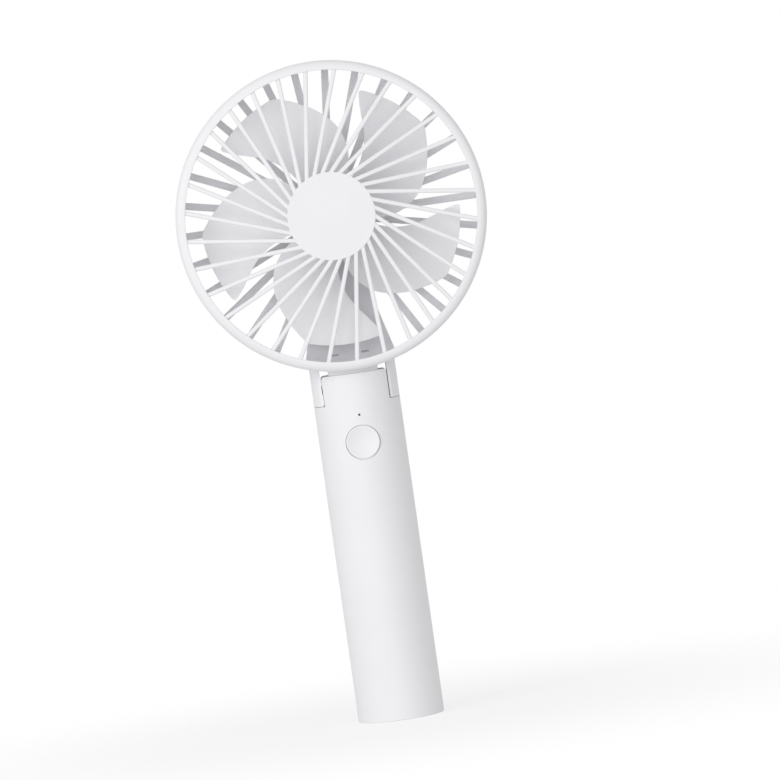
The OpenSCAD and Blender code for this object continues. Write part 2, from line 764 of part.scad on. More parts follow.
module blade() {
    difference() {
        intersection() {
            blade_sheet();
            front_view(hub_front + 0.6, hub_front + hub_len) translate([0, head_z]) blade_outline();
            along_y(hub_front, hub_front + hub_len, 2 * blade_tip_r, 0, head_z);
        }
        along_y(hub_front - 1, hub_front + hub_len + 1, 2 * hub_r - hub_wall, 0, head_z);
    }
}

module impeller() {
    hub_boss_r = 3.2;
    hub_boss_len = 7.5;
    hub_face = 2;
    shaft_seat = shaft_d / 2 + seat_fit;
    color(pale_grey) {
        fan_turn([[shaft_seat, hub_front], [hub_r - 1.2, hub_front], [hub_r, hub_front + 1.2],
                  [hub_r, hub_front + hub_len], [hub_bore, hub_front + hub_len], [hub_bore, hub_front + hub_face],
                  [hub_boss_r, hub_front + hub_face], [hub_boss_r, hub_front + hub_boss_len],
                  [shaft_seat, hub_front + hub_boss_len]]);
        for (k = [0 : blades - 1])
            translate([0, 0, head_z]) rotate([0, -k * 360 / blades, 0]) translate([0, 0, -head_z]) blade();
    }
}

module motor_shaft() {
    color(steel) along_y(hub_front + 0.4, motor_rear - 0.3, shaft_d, 0, head_z);
}

module armature_core() {
    poles = 3;
    slot_w = 3.4;
    color(steel) difference() {
        along_y(core_front, core_rear, 2 * core_r, 0, head_z);
        along_y(core_front - 1, core_rear + 1, shaft_d + 2 * seat_fit, 0, head_z);
        for (k = [0 : poles - 1])
            fan_place(k * 360 / poles) translate([commutator_r, -slot_w / 2, core_front - 1])
                cube([core_r, slot_w, core_rear - core_front + 2]);
    }
}

// Wire in the three slots of the core and round its two ends
module armature_windings() {
    poles = 3;
    coil_w = 3;
    coil_r = core_r - 1;
    color(copper) {
        for (y = [core_front - winding_t, core_rear])
            fan_turn([[commutator_r + 0.2, y], [coil_r, y], [coil_r, y + winding_t],
                      [commutator_r + 0.2, y + winding_t]]);
        for (k = [0 : poles - 1])
            fan_place(k * 360 / poles) translate([commutator_r + 0.4, -coil_w / 2, core_front - winding_t / 2])
                cube([coil_r - commutator_r - 1, coil_w, core_rear - core_front + winding_t]);
    }
}

module commutator() {
    color(copper) difference() {
        along_y(core_rear + winding_t + 0.3, motor_rear - bell_plug - 0.3, 2 * commutator_r, 0, head_z);
        along_y(core_rear, motor_rear, shaft_d + 2 * seat_fit, 0, head_z);
    }
}

// Button: a cap that follows the handle's surface, a flange behind the wall and a stem
flange_half = button_d / 2 + 1.25;
flange_y = -sqrt(pow(bore_r, 2) - pow(flange_half, 2)) + button_gap;
button_flange_t = 1;
dish_r = 40;
dish_depth = 0.4;
switch_t = 3.5;
switch_w = 6;
plunger_d = 3.4;
plunger_out = board_front - switch_t - 1.1;
plunger_in = board_front - 2;

module power_button() {
    color(white) {
        difference() {
            intersection() {
                along_y(-handle_r - 1, flange_y + 0.5, button_d, 0, button_z);
                translate([0, 0, button_z - button_d]) cylinder(r = handle_r, h = 2 * button_d);
            }
            translate([0, dish_depth - handle_r - dish_r, button_z]) sphere(r = dish_r);
        }
        along_y(flange_y, flange_y + button_flange_t, 2 * flange_half, 0, button_z);
        along_y(flange_y, plunger_out, 3, 0, button_z);
    }
}

module switch_plunger() {
    color(black) along_y(plunger_out, plunger_in, plunger_d, 0, button_z);
}

module push_switch() {
    color(steel) difference() {
        translate([-switch_w / 2, board_front - switch_t, button_z - switch_w / 2])
            cube([switch_w, switch_t, switch_w]);
        along_y(board_front - switch_t - 1, plunger_in + button_travel + 0.5, plunger_d + 0.7, 0, button_z);
    }
}

module control_board() {
    color([0.13, 0.35, 0.22]) difference() {
        translate([-board_half_w, board_front, board_bottom])
            cube([2 * board_half_w, board_t, board_top - board_bottom]);
        for (spot = board_screw_spots)
            along_y(board_front - 1, board_back + 1, board_screw_d + 2 * seat_fit, spot.x, spot.y);
    }
}

module indicator_lamp() {
    color("ivory") translate([-0.8, board_front - 0.8, light_z - 0.8]) cube([1.6, 0.8, 1.6]);
}

module light_pipe() {
    color([0.6, 0.6, 0.62]) {
        along_y(-handle_r + 0.1, board_front - 1, light_d, 0, light_z);
        along_y(0.2 - bore_r, 1.4 - bore_r, light_d + 1.4, 0, light_z);
    }
}

module charging_socket() {
    wall = 0.35;
    back = 1.2;
    color(steel) difference() {
        front_view(board_back, usb_face) slot_outline(usb_w, usb_h, usb_z);
        front_view(board_back + back, usb_face + 1) slot_outline(usb_w - 2 * wall, usb_h - 2 * wall, usb_z);
    }
}

module socket_tongue() {
    tongue_w = 6.7;
    tongue_t = 0.7;
    color(black) translate([-tongue_w / 2, board_back + 1.2, usb_z - tongue_t / 2])
        cube([tongue_w, usb_face - board_back - 2.2, tongue_t]);
}

module charge_chip() {
    color(black) translate([2, board_back, usb_z + 6]) cube([4, 1.2, 4]);
}

module boost_coil() {
    color([0.3, 0.3, 0.32]) along_y(board_back, board_back + 3, 6, -3.5, usb_z + 7.5);
}

module capacitors() {
    color([0.72, 0.6, 0.45]) for (spot = [[2.5, 3], [4.5, 3], [6.2, 3]])
        translate([spot.x, board_back, usb_z + spot.y]) cube([1.2, 1, 2]);
}

module board_screws() {
    color(steel) for (spot = board_screw_spots) {
        along_y(board_front, board_back + board_screw_len - 0.5, board_screw_d, spot.x, spot.y);
        along_y(board_front - board_screw_head_t, board_front, board_screw_head_d, spot.x, spot.y);
    }
}

module cell() {
    color([0.25, 0.45, 0.62]) translate([0, 0, cell_z]) cylinder(d = cell_d, h = cell_len);
}

module cell_cap() {
    color(steel) translate([0, 0, cell_z + cell_len]) cylinder(d = cell_cap_d, h = cell_cap_t);
}

module cell_tabs() {
    color(steel) {
        translate([0, 0, cell_z - tab_t]) rotate([0, 0, cell_lead_angle])
            translate([-tab_reach, -tab_w / 2, 0])
                cube([tab_reach + cell_lead_r - lead_d / 2 - 0.1, tab_w, tab_t]);
        translate([high_tab_corner.x, high_tab_corner.y, cell_top - tab_t])
            cube([high_tab.x, high_tab.y, tab_t]);
    }
}

module cell_pad() {
    color(black) translate([0, 0, seat_z]) cylinder(d = cell_d - 2, h = cell_pad_t);
}

module cell_leads() {
    side = cell_lead_r * [cos(cell_lead_angle), sin(cell_lead_angle)];
    lead_y = board_back + lead_d / 2 + 0.2;
    color([0.7, 0.1, 0.1]) {
        lead_run([[side.x, side.y, cell_z - 0.6], [side.x, side.y, cell_top + 1],
                  [-2.5, lead_y, board_bottom + 1.5], [-2.5, lead_y, board_bottom + 4]], lead_d);
        lead_run([[4, lead_y, cell_top + 0.1], [4, lead_y, board_bottom + 3]], lead_d);
    }
}

// The motor lead leaves the hinge pin on the hinge axis and comes down to the board
module handle_lead() {
    lead_y = board_back + lead_d / 2 + 0.2;
    color(black) lead_run([lead_meet, [1 - knuckle_x + bush_len, pivot_y, pivot_z],
                           [-6, 4.2, ledge_z + 1], [-3.5, lead_y, board_top - 4],
                           [-3.5, lead_y, board_top - 5.5]], lead_d);
}

handle_front_shell();
handle_rear_shell();
base_pad();
shell_screws();
hinge_bushes();
hinge_pins();
front_grille();
rear_grille();
neck_cover();
neck_screws();
motor_cap();
motor_can();
motor_end_bell();
motor_magnets();
motor_brushes();
motor_bushes();
motor_terminals();
motor_screws();
head_lead();
impeller();
motor_shaft();
armature_core();
armature_windings();
commutator();
power_button();
switch_plunger();
push_switch();
control_board();
indicator_lamp();
light_pipe();
charging_socket();
socket_tongue();
charge_chip();
boost_coil();
capacitors();
board_screws();
cell();
cell_cap();
cell_tabs();
cell_pad();
cell_leads();
handle_lead();
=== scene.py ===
# %% [markdown]
# # A folding handheld fan, dressed for its portrait
#
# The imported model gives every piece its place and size. This lesson models the pieces that show, one
# after another, in the same frame: metres, +Z up the handle, the front grille and the button facing -Y.
# Most of the fan is turned (ring, hub, cup, button) or repeated round the fan's axis (ribs, blades), so
# a spun profile and a rotated copy do nearly all the work, and bevels give the moulded edges.

# %% Load the frame
import json
import math
import bmesh
import bpy
from mathutils import Matrix, Vector


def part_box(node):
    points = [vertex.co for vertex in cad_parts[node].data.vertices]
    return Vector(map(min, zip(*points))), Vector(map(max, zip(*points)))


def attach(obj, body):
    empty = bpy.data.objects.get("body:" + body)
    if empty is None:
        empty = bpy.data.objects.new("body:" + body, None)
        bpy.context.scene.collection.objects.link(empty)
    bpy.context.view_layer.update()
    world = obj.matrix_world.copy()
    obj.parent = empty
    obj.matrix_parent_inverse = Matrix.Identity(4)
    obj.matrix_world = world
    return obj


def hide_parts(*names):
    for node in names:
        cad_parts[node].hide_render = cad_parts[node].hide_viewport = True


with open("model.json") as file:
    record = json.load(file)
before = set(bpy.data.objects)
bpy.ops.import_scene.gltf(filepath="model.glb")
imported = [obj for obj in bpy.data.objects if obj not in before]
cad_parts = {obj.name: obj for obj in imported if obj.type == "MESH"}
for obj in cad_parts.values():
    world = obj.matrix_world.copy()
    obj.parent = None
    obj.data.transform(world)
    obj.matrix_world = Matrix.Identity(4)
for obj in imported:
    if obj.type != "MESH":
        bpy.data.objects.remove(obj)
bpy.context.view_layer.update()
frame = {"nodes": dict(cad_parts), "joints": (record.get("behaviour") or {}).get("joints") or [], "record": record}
MM = 0.001
scene = bpy.context.scene

# %% [markdown]
# ## Sizes
#
# The main sizes come from the frame's own boxes, so the dressing follows the part if it is packed
# again at another size. They stay in metres. What no box can tell, such as a wall or a rounding, is a
# named value in millimetres, turned into metres where it is used.

# %% Read the main sizes from the frame
handle_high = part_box("handle_front_shell")[1]
cage_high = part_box("rear_grille")[1]
cap_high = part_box("motor_cap")[1]
joint_places = {joint["name"]: joint.get("pos_m") for joint in frame["joints"]}

handle_r = handle_high.x
handle_top = handle_high.z
hinge = Vector(joint_places["head_fold"])
fan = Vector(joint_places["impeller_spin"])
ring_r = cage_high.z - fan.z
cup_r = cap_high.x
knuckle_r = handle_top - hinge.z
ledge_gap = 0.35
ledge_z = hinge.z - knuckle_r - ledge_gap * MM
print("handle radius %.1f mm, ring radius %.1f mm, fan axis at %.1f mm"
      % (handle_r / MM, ring_r / MM, fan.z / MM))

# %% [markdown]
# ## Camera
#
# The portrait is taken from straight ahead with a long lens, a little from above and a hair from the
# left. The fan leans to the left in the picture. Leaning the camera the other way gives that picture
# while the fan itself stays upright in its frame.

# %% Set the camera
picture_width = 36.0
lens = 266.0
distance = 2000 * MM
aim = Vector((11.91, 0, 112.97)) * MM
camera_azimuth = math.radians(-1.0)
camera_height = math.radians(2.2)
lean = math.radians(8.05)

camera_data = bpy.data.cameras.new("portrait_camera")
camera_data.sensor_width = picture_width
camera_data.lens = lens
camera_data.clip_start = 0.01
camera = bpy.data.objects.new("portrait_camera", camera_data)
scene.collection.objects.link(camera)
level_right = Vector((math.cos(camera_azimuth), math.sin(camera_azimuth), 0))
level_back = Vector((math.sin(camera_azimuth), -math.cos(camera_azimuth), 0))
back = math.cos(camera_height) * level_back + math.sin(camera_height) * Vector((0, 0, 1))
level_up = back.cross(level_right)
right = math.cos(lean) * level_right - math.sin(lean) * level_up
up = math.sin(lean) * level_right + math.cos(lean) * level_up
turn = Matrix((right, up, back)).transposed().to_4x4()
camera.matrix_world = Matrix.Translation(aim + distance * back) @ turn
scene.camera = camera
print("camera at", [round(c, 3) for c in camera.location])

# %% [markdown]
# ## Studio
#
# A white product portrait needs light from all round, or white plastic turns grey. A white sky does
# that. One broad lamp from the upper left shapes the cylinder of the handle, and one beside the camera
# reaches through the grille to the blades and spokes behind it. That one is so wide that the shadows of
# the ribs melt together on the blades. The floor is mostly clear to the camera and fades out with
# distance, so it ends nowhere and only a soft contact shadow stays.

# %% Make the studio
scene.view_settings.view_transform = "Standard"
sky_strength = 0.60
key_place, key_size, key_strength = (-1.02, -1.08, 0.58), 0.9, 6.7
front_place, front_size, front_strength = (-0.10, -1.8, 0.27), 1.3, 8.0
lit_point = Vector((0, 0, 0.13))
white = (1, 1, 1, 1)
floor_white = (0.95, 0.95, 0.95, 1)
floor_half = 3.0
shadow_near = 0.02
shadow_far = 0.22
shadow_share = 0.3

world = bpy.data.worlds.new("white_sky")
scene.world = world
world.use_nodes = True
sky_nodes = world.node_tree.nodes
sky_links = world.node_tree.links
sky_nodes.clear()
sky_out = sky_nodes.new("ShaderNodeOutputWorld")
sky_mix = sky_nodes.new("ShaderNodeMixShader")
sky_light = sky_nodes.new("ShaderNodeBackground")
sky_light.inputs["Color"].default_value = white
sky_light.inputs["Strength"].default_value = sky_strength
sky_white = sky_nodes.new("ShaderNodeBackground")
sky_white.inputs["Color"].default_value = white
sky_path = sky_nodes.new("ShaderNodeLightPath")
sky_seen = sky_nodes.new("ShaderNodeMath")
sky_seen.operation = "MAXIMUM"
sky_links.new(sky_path.outputs["Is Camera Ray"], sky_seen.inputs[0])
sky_links.new(sky_path.outputs["Is Glossy Ray"], sky_seen.inputs[1])
sky_links.new(sky_seen.outputs[0], sky_mix.inputs["Fac"])
sky_links.new(sky_light.outputs[0], sky_mix.inputs[1])
sky_links.new(sky_white.outputs[0], sky_mix.inputs[2])
sky_links.new(sky_mix.outputs[0], sky_out.inputs["Surface"])


def softbox(name, place, target, size, power):
    """A square lamp at place that looks at target."""
    lamp = bpy.data.lights.new(name, "AREA")
    lamp.size = size
    lamp.energy = power
    holder = bpy.data.objects.new(name, lamp)
    scene.collection.objects.link(holder)
    holder.location = place
    holder.rotation_euler = (target - Vector(place)).to_track_quat("-Z", "Y").to_euler()


softbox("key_lamp", key_place, lit_point, key_size, key_strength)
softbox("front_lamp", front_place, lit_point, front_size, front_strength)


def floor_finish():
    """Mostly clear, with a little white that takes the shadow near the fan and fades out around it."""
    finish = bpy.data.materials.new("studio_floor")
    finish.use_nodes = True
    nodes = finish.node_tree.nodes
    links = finish.node_tree.links
    nodes.clear()
    out = nodes.new("ShaderNodeOutputMaterial")
    mix = nodes.new("ShaderNodeMixShader")
    place = nodes.new("ShaderNodeTexCoord")
    far = nodes.new("ShaderNodeVectorMath")
    far.operation = "LENGTH"
    fade = nodes.new("ShaderNodeMapRange")
    fade.interpolation_type = "SMOOTHSTEP"
    fade.inputs["From Min"].default_value = shadow_near
    fade.inputs["From Max"].default_value = shadow_far
    fade.inputs["To Min"].default_value = shadow_share
    fade.inputs["To Max"].default_value = 0
    links.new(place.outputs["Object"], far.inputs[0])
    links.new(far.outputs["Value"], fade.inputs["Value"])
    links.new(fade.outputs["Result"], mix.inputs["Fac"])
    clear = nodes.new("ShaderNodeBsdfTransparent")
    matte = nodes.new("ShaderNodeBsdfDiffuse")
    matte.inputs["Color"].default_value = floor_white
    links.new(clear.outputs[0], mix.inputs[1])
    links.new(matte.outputs[0], mix.inputs[2])
    links.new(mix.outputs[0], out.inputs["Surface"])
    return finish


floor_mesh = bpy.data.meshes.new("studio_floor")
floor_bm = bmesh.new()
bmesh.ops.create_grid(floor_bm, x_segments=1, y_segments=1, size=floor_half)
floor_bm.to_mesh(floor_mesh)
floor_bm.free()
floor = bpy.data.objects.new("studio_floor", floor_mesh)
floor_mesh.materials.append(floor_finish())
scene.collection.objects.link(floor)
print("studio: two lamps, sky and floor")

# %% [markdown]
# ## Finishes
#
# The fan is nearly all one thing: white ABS from a lightly sparked mould. Such a surface is matte, with
# a grain far finer than a millimetre, a little unevenness of gloss where the plastic flowed, and a very
# faint change of tone across a part. Three noises on Object coordinates give those three things: one
# bends the normal, one moves the roughness, one moves the colour. The same recipe with other numbers
# gives rubber, nylon and insulation, and stretched noise gives drawn or turned metal.

# %% A recipe for surfaces with grain
noise_low, noise_high = 0.3, 0.7
tone_mm, tone_dark, tone_light = 28.0, 0.35, 0.62
gloss_mm, gloss_detail = 5.0, 4.0
grain_detail, grain_strength = 2.0, 0.6


def start_finish(name):
    """A new material with its shader, and the Object coordinates that its patterns read."""
    finish = bpy.data.materials.new(name)
    finish.use_nodes = True
    nodes = finish.node_tree.nodes
    shader = nodes["Principled BSDF"]
    place = nodes.new("ShaderNodeTexCoord")
    return finish, nodes, finish.node_tree.links, shader, place


def add_noise(nodes, links, place, size_mm, detail=3.0, stretch=(1, 1, 1)):
    """Noise whose spots are about size_mm across, drawn out along an axis by a stretch below 1."""
    mapping = nodes.new("ShaderNodeMapping")
    mapping.inputs["Scale"].default_value = stretch
    noise = nodes.new("ShaderNodeTexNoise")
    noise.inputs["Scale"].default_value = 1.0 / (size_mm * MM)
    noise.inputs["Detail"].default_value = detail
    links.new(place.outputs["Object"], mapping.inputs["Vector"])
    links.new(mapping.outputs["Vector"], noise.inputs["Vector"])
    return noise


def add_range(nodes, links, source, low, high):
    """A noise's middle part spread over the range from low to high."""
    spread = nodes.new("ShaderNodeMapRange")
    spread.inputs["From Min"].default_value = noise_low
    spread.inputs["From Max"].default_value = noise_high
    spread.inputs["To Min"].default_value = low
    spread.inputs["To Max"].default_value = high
    links.new(source.outputs["Fac"], spread.inputs["Value"])
    return spread


def grained(name, colour, dark, rough, grain_mm, depth_mm, metallic=0.0, specular=0.5, stretch=(1, 1, 1)):
    """A surface that drifts from colour to dark, with a roughness range and a fine raised grain."""
    finish, nodes, links, shader, place = start_finish(name)
    tone_noise = add_noise(nodes, links, place, tone_mm)
    tone = nodes.new("ShaderNodeValToRGB")
    tone.color_ramp.elements[0].position = tone_dark
    tone.color_ramp.elements[0].color = (*dark, 1)
    tone.color_ramp.elements[1].position = tone_light
    tone.color_ramp.elements[1].color = (*colour, 1)
    links.new(tone_noise.outputs["Fac"], tone.inputs["Fac"])
    links.new(tone.outputs["Color"], shader.inputs["Base Color"])
    gloss_noise = add_noise(nodes, links, place, gloss_mm, gloss_detail, stretch)
    gloss = add_range(nodes, links, gloss_noise, *rough)
    links.new(gloss.outputs["Result"], shader.inputs["Roughness"])
    grain = add_noise(nodes, links, place, grain_mm, grain_detail, stretch)
    bump = nodes.new("ShaderNodeBump")
    bump.inputs["Strength"].default_value = grain_strength
    bump.inputs["Distance"].default_value = depth_mm * MM
    links.new(grain.outputs["Fac"], bump.inputs["Height"])
    links.new(bump.outputs["Normal"], shader.inputs["Normal"])
    shader.inputs["Metallic"].default_value = metallic
    shader.inputs["Specular IOR Level"].default_value = specular
    return finish


white_abs = grained("white_abs", (0.842, 0.840, 0.859), (0.825, 0.823, 0.843), (0.42, 0.56), 0.22, 0.012)
# cage_abs is the handle's white ABS made lighter. This is painted light that lifts the spokes, ears and neck plate
# out of the shade inside the deep cage.
cage_abs = grained("cage_abs", (0.86, 0.86, 0.88), (0.84, 0.84, 0.861), (0.46, 0.60), 0.24, 0.014)
# blade_abs is the same white ABS made lighter still. This is painted light that makes up for the shade the front
# ribs cast on the blades.
blade_abs = grained("blade_abs", (0.95, 0.948, 0.966), (0.935, 0.933, 0.952), (0.38, 0.50), 0.30, 0.010)
pad_rubber = grained("pad_rubber", (0.60, 0.61, 0.63), (0.55, 0.56, 0.58), (0.72, 0.86), 0.35, 0.030)
black_nylon = grained("black_nylon", (0.020, 0.020, 0.022), (0.012, 0.012, 0.013), (0.40, 0.55),
                      0.25, 0.015)
screw_steel = grained("screw_steel", (0.62, 0.63, 0.65), (0.52, 0.53, 0.55), (0.24, 0.40), 0.12, 0.006,
                      metallic=1.0, stretch=(1, 0.15, 1))
socket_steel = grained("socket_steel", (0.66, 0.67, 0.69), (0.58, 0.59, 0.61), (0.20, 0.34), 0.15, 0.005,
                       metallic=1.0, stretch=(1, 0.1, 1))
print("grained finishes:", white_abs.name, cage_abs.name, blade_abs.name, pad_rubber.name)

# %% [markdown]
# ## Finishes of the pieces inside
#
# The closed handle and the motor cup hide a cell, a board, a motor and their leads. They still belong
# to the object, so each keeps its solid and gets a finish of its own kind, from the same recipe where
# it is plain, and with a drawn pattern where the real piece has one: copper turns and a traced board.

# %% Finishes for the hidden pieces
bush_bronze = grained("bush_bronze", (0.58, 0.41, 0.17), (0.48, 0.33, 0.13), (0.32, 0.5), 0.10, 0.010,
                      metallic=1.0)
can_nickel = grained("can_nickel", (0.64, 0.64, 0.65), (0.54, 0.54, 0.56), (0.22, 0.36), 0.20, 0.005,
                     metallic=1.0, stretch=(1, 0.12, 1))
ferrite = grained("ferrite", (0.07, 0.07, 0.075), (0.045, 0.045, 0.05), (0.55, 0.75), 0.15, 0.02)
lead_sleeve = grained("lead_sleeve", (0.03, 0.03, 0.033), (0.02, 0.02, 0.022), (0.45, 0.6), 0.3, 0.02)
smoked_clear = grained("smoked_clear", (0.030, 0.031, 0.034), (0.020, 0.021, 0.023), (0.12, 0.22),
                       0.2, 0.002)
cell_wrap = grained("cell_wrap", (0.05, 0.16, 0.30), (0.04, 0.13, 0.25), (0.22, 0.34), 0.6, 0.008)
wave_period, wave_wobble, wave_light = 0.31, 0.4, 0.55
stripe_gloss_mm = 2.0
stripe_relief = 0.1


def striped(name, colour, groove, stripe_mm, rough, metallic, axis):
    """Fine parallel lines, as of wound wire or of tracks on a board."""
    finish, nodes, links, shader, place = start_finish(name)
    wave = nodes.new("ShaderNodeTexWave")
    wave.bands_direction = axis
    wave.inputs["Scale"].default_value = wave_period / (stripe_mm * MM)
    wave.inputs["Distortion"].default_value = wave_wobble
    links.new(place.outputs["Object"], wave.inputs["Vector"])
    tone = nodes.new("ShaderNodeValToRGB")
    tone.color_ramp.elements[0].color = (*groove, 1)
    tone.color_ramp.elements[1].position = wave_light
    tone.color_ramp.elements[1].color = (*colour, 1)
    links.new(wave.outputs["Fac"], tone.inputs["Fac"])
    links.new(tone.outputs["Color"], shader.inputs["Base Color"])
    gloss = add_range(nodes, links, add_noise(nodes, links, place, stripe_gloss_mm), *rough)
    links.new(gloss.outputs["Result"], shader.inputs["Roughness"])
    bump = nodes.new("ShaderNodeBump")
    bump.inputs["Distance"].default_value = stripe_relief * stripe_mm * MM
    links.new(wave.outputs["Fac"], bump.inputs["Height"])
    links.new(bump.outputs["Normal"], shader.inputs["Normal"])
    shader.inputs["Metallic"].default_value = metallic
    return finish


copper_wire = striped("copper_wire", (0.60, 0.26, 0.10), (0.30, 0.11, 0.04), 0.25, (0.25, 0.4), 1.0, "Y")
board_mask = striped("board_mask", (0.010, 0.085, 0.032), (0.006, 0.055, 0.022), 0.9, (0.25, 0.4), 0.0, "Z")

hidden_finishes = {
    "bush_brass": bush_bronze, "can_steel": can_nickel, "black_nylon": black_nylon,
    "coil_copper": copper_wire, "board_green": board_mask, "ferrite": ferrite,
    "lead_black": lead_sleeve, "lamp_clear": smoked_clear, "cell_wrap": cell_wrap,
    "screw_steel": screw_steel, "pad_rubber": pad_rubber, "white_abs": white_abs,
    "cage_abs": cage_abs, "blade_abs": blade_abs,
}
for row in frame["record"]["subparts"]:
    carried = frame["nodes"][row["node"]]
    carried.data.materials.clear()
    carried.data.materials.append(hidden_finishes[row["material_slot"]])
print("finishes on", len(frame["nodes"]), "carried pieces")

# %% [markdown]
# ## Tools for moulded pieces
#
# Three moves make most of this fan. A profile is drawn as one face beside an axis, its corners are
# rounded with a vertex bevel, and it is spun into a closed turned body. A flat outline is extruded and
# its edges bevelled, which gives ribs and plates. Copies are rotated about the fan's axis. A piece is
# finished by smooth shading with sharp edges kept, so a bevel catches light and a flat stays flat.
# Points nearer than the weld distance count as one, and a cutter that has to pass right through a skin
# ends outside all pieces.

# %% Moves on a mesh
weld = 1e-7
outside = 20.0


def all_of(bm):
    """All of a mesh, as an operator takes it."""
    return list(bm.verts) + list(bm.edges) + list(bm.faces)


def with_rims(faces):
    """Some faces with their edges and vertices, as an operator takes them."""
    return faces + list({e for f in faces for e in f.edges}) + list({v for f in faces for v in f.verts})


def edges_at(bm, test):
    """Edges whose two ends both pass a test on their place in mm."""
    return [e for e in bm.edges if all(test(*(v.co / MM)) for v in e.verts)]


def round_edges(bm, edges, offset, segments):
    """Round some edges by an offset in mm."""
    bmesh.ops.bevel(bm, geom=edges, offset=offset * MM, offset_type="OFFSET", segments=segments,
                    profile=0.5, affect="EDGES", material=-1, clamp_overlap=True)


def round_corners(bm, corners, offset):
    """Round some corners of a flat sheet by an offset in mm."""
    bmesh.ops.bevel(bm, geom=corners, offset=offset * MM, offset_type="OFFSET", segments=4,
                    profile=0.5, affect="VERTICES", material=-1, clamp_overlap=True)


def draw_out(bm, faces, way):
    """Draw some faces along a vector, and give the vertices that moved."""
    made = bmesh.ops.extrude_face_region(bm, geom=faces)
    moved = [v for v in made["geom"] if isinstance(v, bmesh.types.BMVert)]
    bmesh.ops.translate(bm, verts=moved, vec=way)
    return moved


def trim(bm, geom, place, way):
    """Take off what lies beyond a plane, and give the edges of the cut."""
    made = bmesh.ops.bisect_plane(bm, geom=geom, dist=weld, plane_co=place, plane_no=way, clear_outer=True)
    return [e for e in made["geom_cut"] if isinstance(e, bmesh.types.BMEdge)]


def cut(bm, cutter):
    """The mesh with the cutter's room taken out of it. Both are used up."""
    holders = []
    for name, part in (("cut_body", bm), ("cut_tool", cutter)):
        mesh = bpy.data.meshes.new(name)
        part.to_mesh(mesh)
        part.free()
        holders.append(bpy.data.objects.new(name, mesh))
        scene.collection.objects.link(holders[-1])
    body, tool = holders
    modifier = body.modifiers.new("cut", "BOOLEAN")
    modifier.object = tool
    modifier.operation = "DIFFERENCE"
    modifier.solver = "EXACT"
    result = bmesh.new()
    result.from_object(body, bpy.context.evaluated_depsgraph_get())
    for holder in holders:
        mesh = holder.data
        bpy.data.objects.remove(holder)
        bpy.data.meshes.remove(mesh)
    return result


print("moves ready")

# %% Turned, extruded and repeated bodies
round_steps = 96


def turned(profile, steps, centre_z=fan.z):
    """Spin corners (radius, y and rounding in mm) into a closed body about a line along Y."""
    bm = bmesh.new()
    corners = [bm.verts.new((r * MM, y * MM, centre_z)) for r, y, _ in profile]
    bm.faces.new(corners)
    for corner, (_, _, rounding) in zip(corners, profile):
        if rounding:
            round_corners(bm, [corner], rounding)
    outline = list(bm.edges)
    bmesh.ops.delete(bm, geom=list(bm.faces), context="FACES_ONLY")
    bmesh.ops.spin(bm, geom=outline + list(bm.verts), cent=(0, 0, centre_z), axis=(0, 1, 0),
                   angle=math.tau, steps=steps, use_merge=True)
    bmesh.ops.remove_doubles(bm, verts=bm.verts, dist=weld)
    bmesh.ops.dissolve_degenerate(bm, edges=bm.edges, dist=weld)
    bmesh.ops.recalc_face_normals(bm, faces=bm.faces)
    return bm


def rectangle(x0, x1, z0, z1):
    """The corners of an upright rectangle, in order round it."""
    return (x0, z0), (x1, z0), (x1, z1), (x0, z1)


def extruded(outline, way, rounding=0.0, segments=2):
    """A flat outline (points in metres) drawn along a vector, all edges bevelled by rounding in mm."""
    bm = bmesh.new()
    face = bm.faces.new([bm.verts.new(p) for p in outline])
    draw_out(bm, [face], way)
    bmesh.ops.recalc_face_normals(bm, faces=bm.faces)
    if rounding:
        rims = [e for e in bm.edges if e.calc_face_angle(0) > math.radians(25)]
        round_edges(bm, rims, rounding, segments)
    return bm


def tube_solid(radius, y0, y1, x, z, steps=48):
    """A plain cylinder along Y, in mm, for cutting holes."""
    bm = bmesh.new()
    bmesh.ops.create_cone(bm, cap_ends=True, segments=steps, radius1=radius * MM, radius2=radius * MM,
                          depth=(y1 - y0) * MM)
    bmesh.ops.rotate(bm, verts=bm.verts, cent=(0, 0, 0), matrix=Matrix.Rotation(math.pi / 2, 3, "X"))
    bmesh.ops.translate(bm, verts=bm.verts, vec=Vector((x, (y0 + y1) / 2, z)) * MM)
    bmesh.ops.recalc_face_normals(bm, faces=bm.faces)
    return bm


def upright_disc(radius, low, high):
    """A plain disc along Z, in metres."""
    bm = bmesh.new()
    bmesh.ops.create_cone(bm, cap_ends=True, segments=round_steps, radius1=radius, radius2=radius,
                          depth=high - low)
    bmesh.ops.translate(bm, verts=bm.verts, vec=(0, 0, (low + high) / 2))
    bmesh.ops.recalc_face_normals(bm, faces=bm.faces)
    return bm


def joined(*parts):
    """One mesh from several, which are used up."""
    whole = bmesh.new()
    for part in parts:
        carrier = bpy.data.meshes.new("carrier")
        part.to_mesh(carrier)
        part.free()
        whole.from_mesh(carrier)
        bpy.data.meshes.remove(carrier)
    return whole


def repeated(part, angles):
    """Copies of a part turned about the fan's axis, anticlockwise as seen from the front."""
    copies = []
    for angle in angles:
        copy = part.copy()
        bmesh.ops.rotate(copy, verts=copy.verts, cent=(0, 0, fan.z),
                         matrix=Matrix.Rotation(-math.radians(angle), 3, "Y"))
        copies.append(copy)
    part.free()
    return joined(*copies)


print("bodies ready")

# %% Finish a piece
def finish_piece(bm, name, body, material, nodes, sharp_angle=35):
    """Turn the mesh into a piece that rides on a body and stands for one or more frame nodes."""
    mesh = bpy.data.meshes.new(name)
    bm.to_mesh(mesh)
    bm.free()
    mesh.materials.append(material)
    mesh.shade_smooth()
    mesh.set_sharp_from_angle(angle=math.radians(sharp_angle))
    piece = bpy.data.objects.new(name, mesh)
    scene.collection.objects.link(piece)
    shading = piece.modifiers.new("even_shading", "WEIGHTED_NORMAL")
    shading.keep_sharp = True
    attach(piece, body)
    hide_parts(*nodes)
    print(name, "has", len(mesh.polygons), "faces")


print("tools ready")

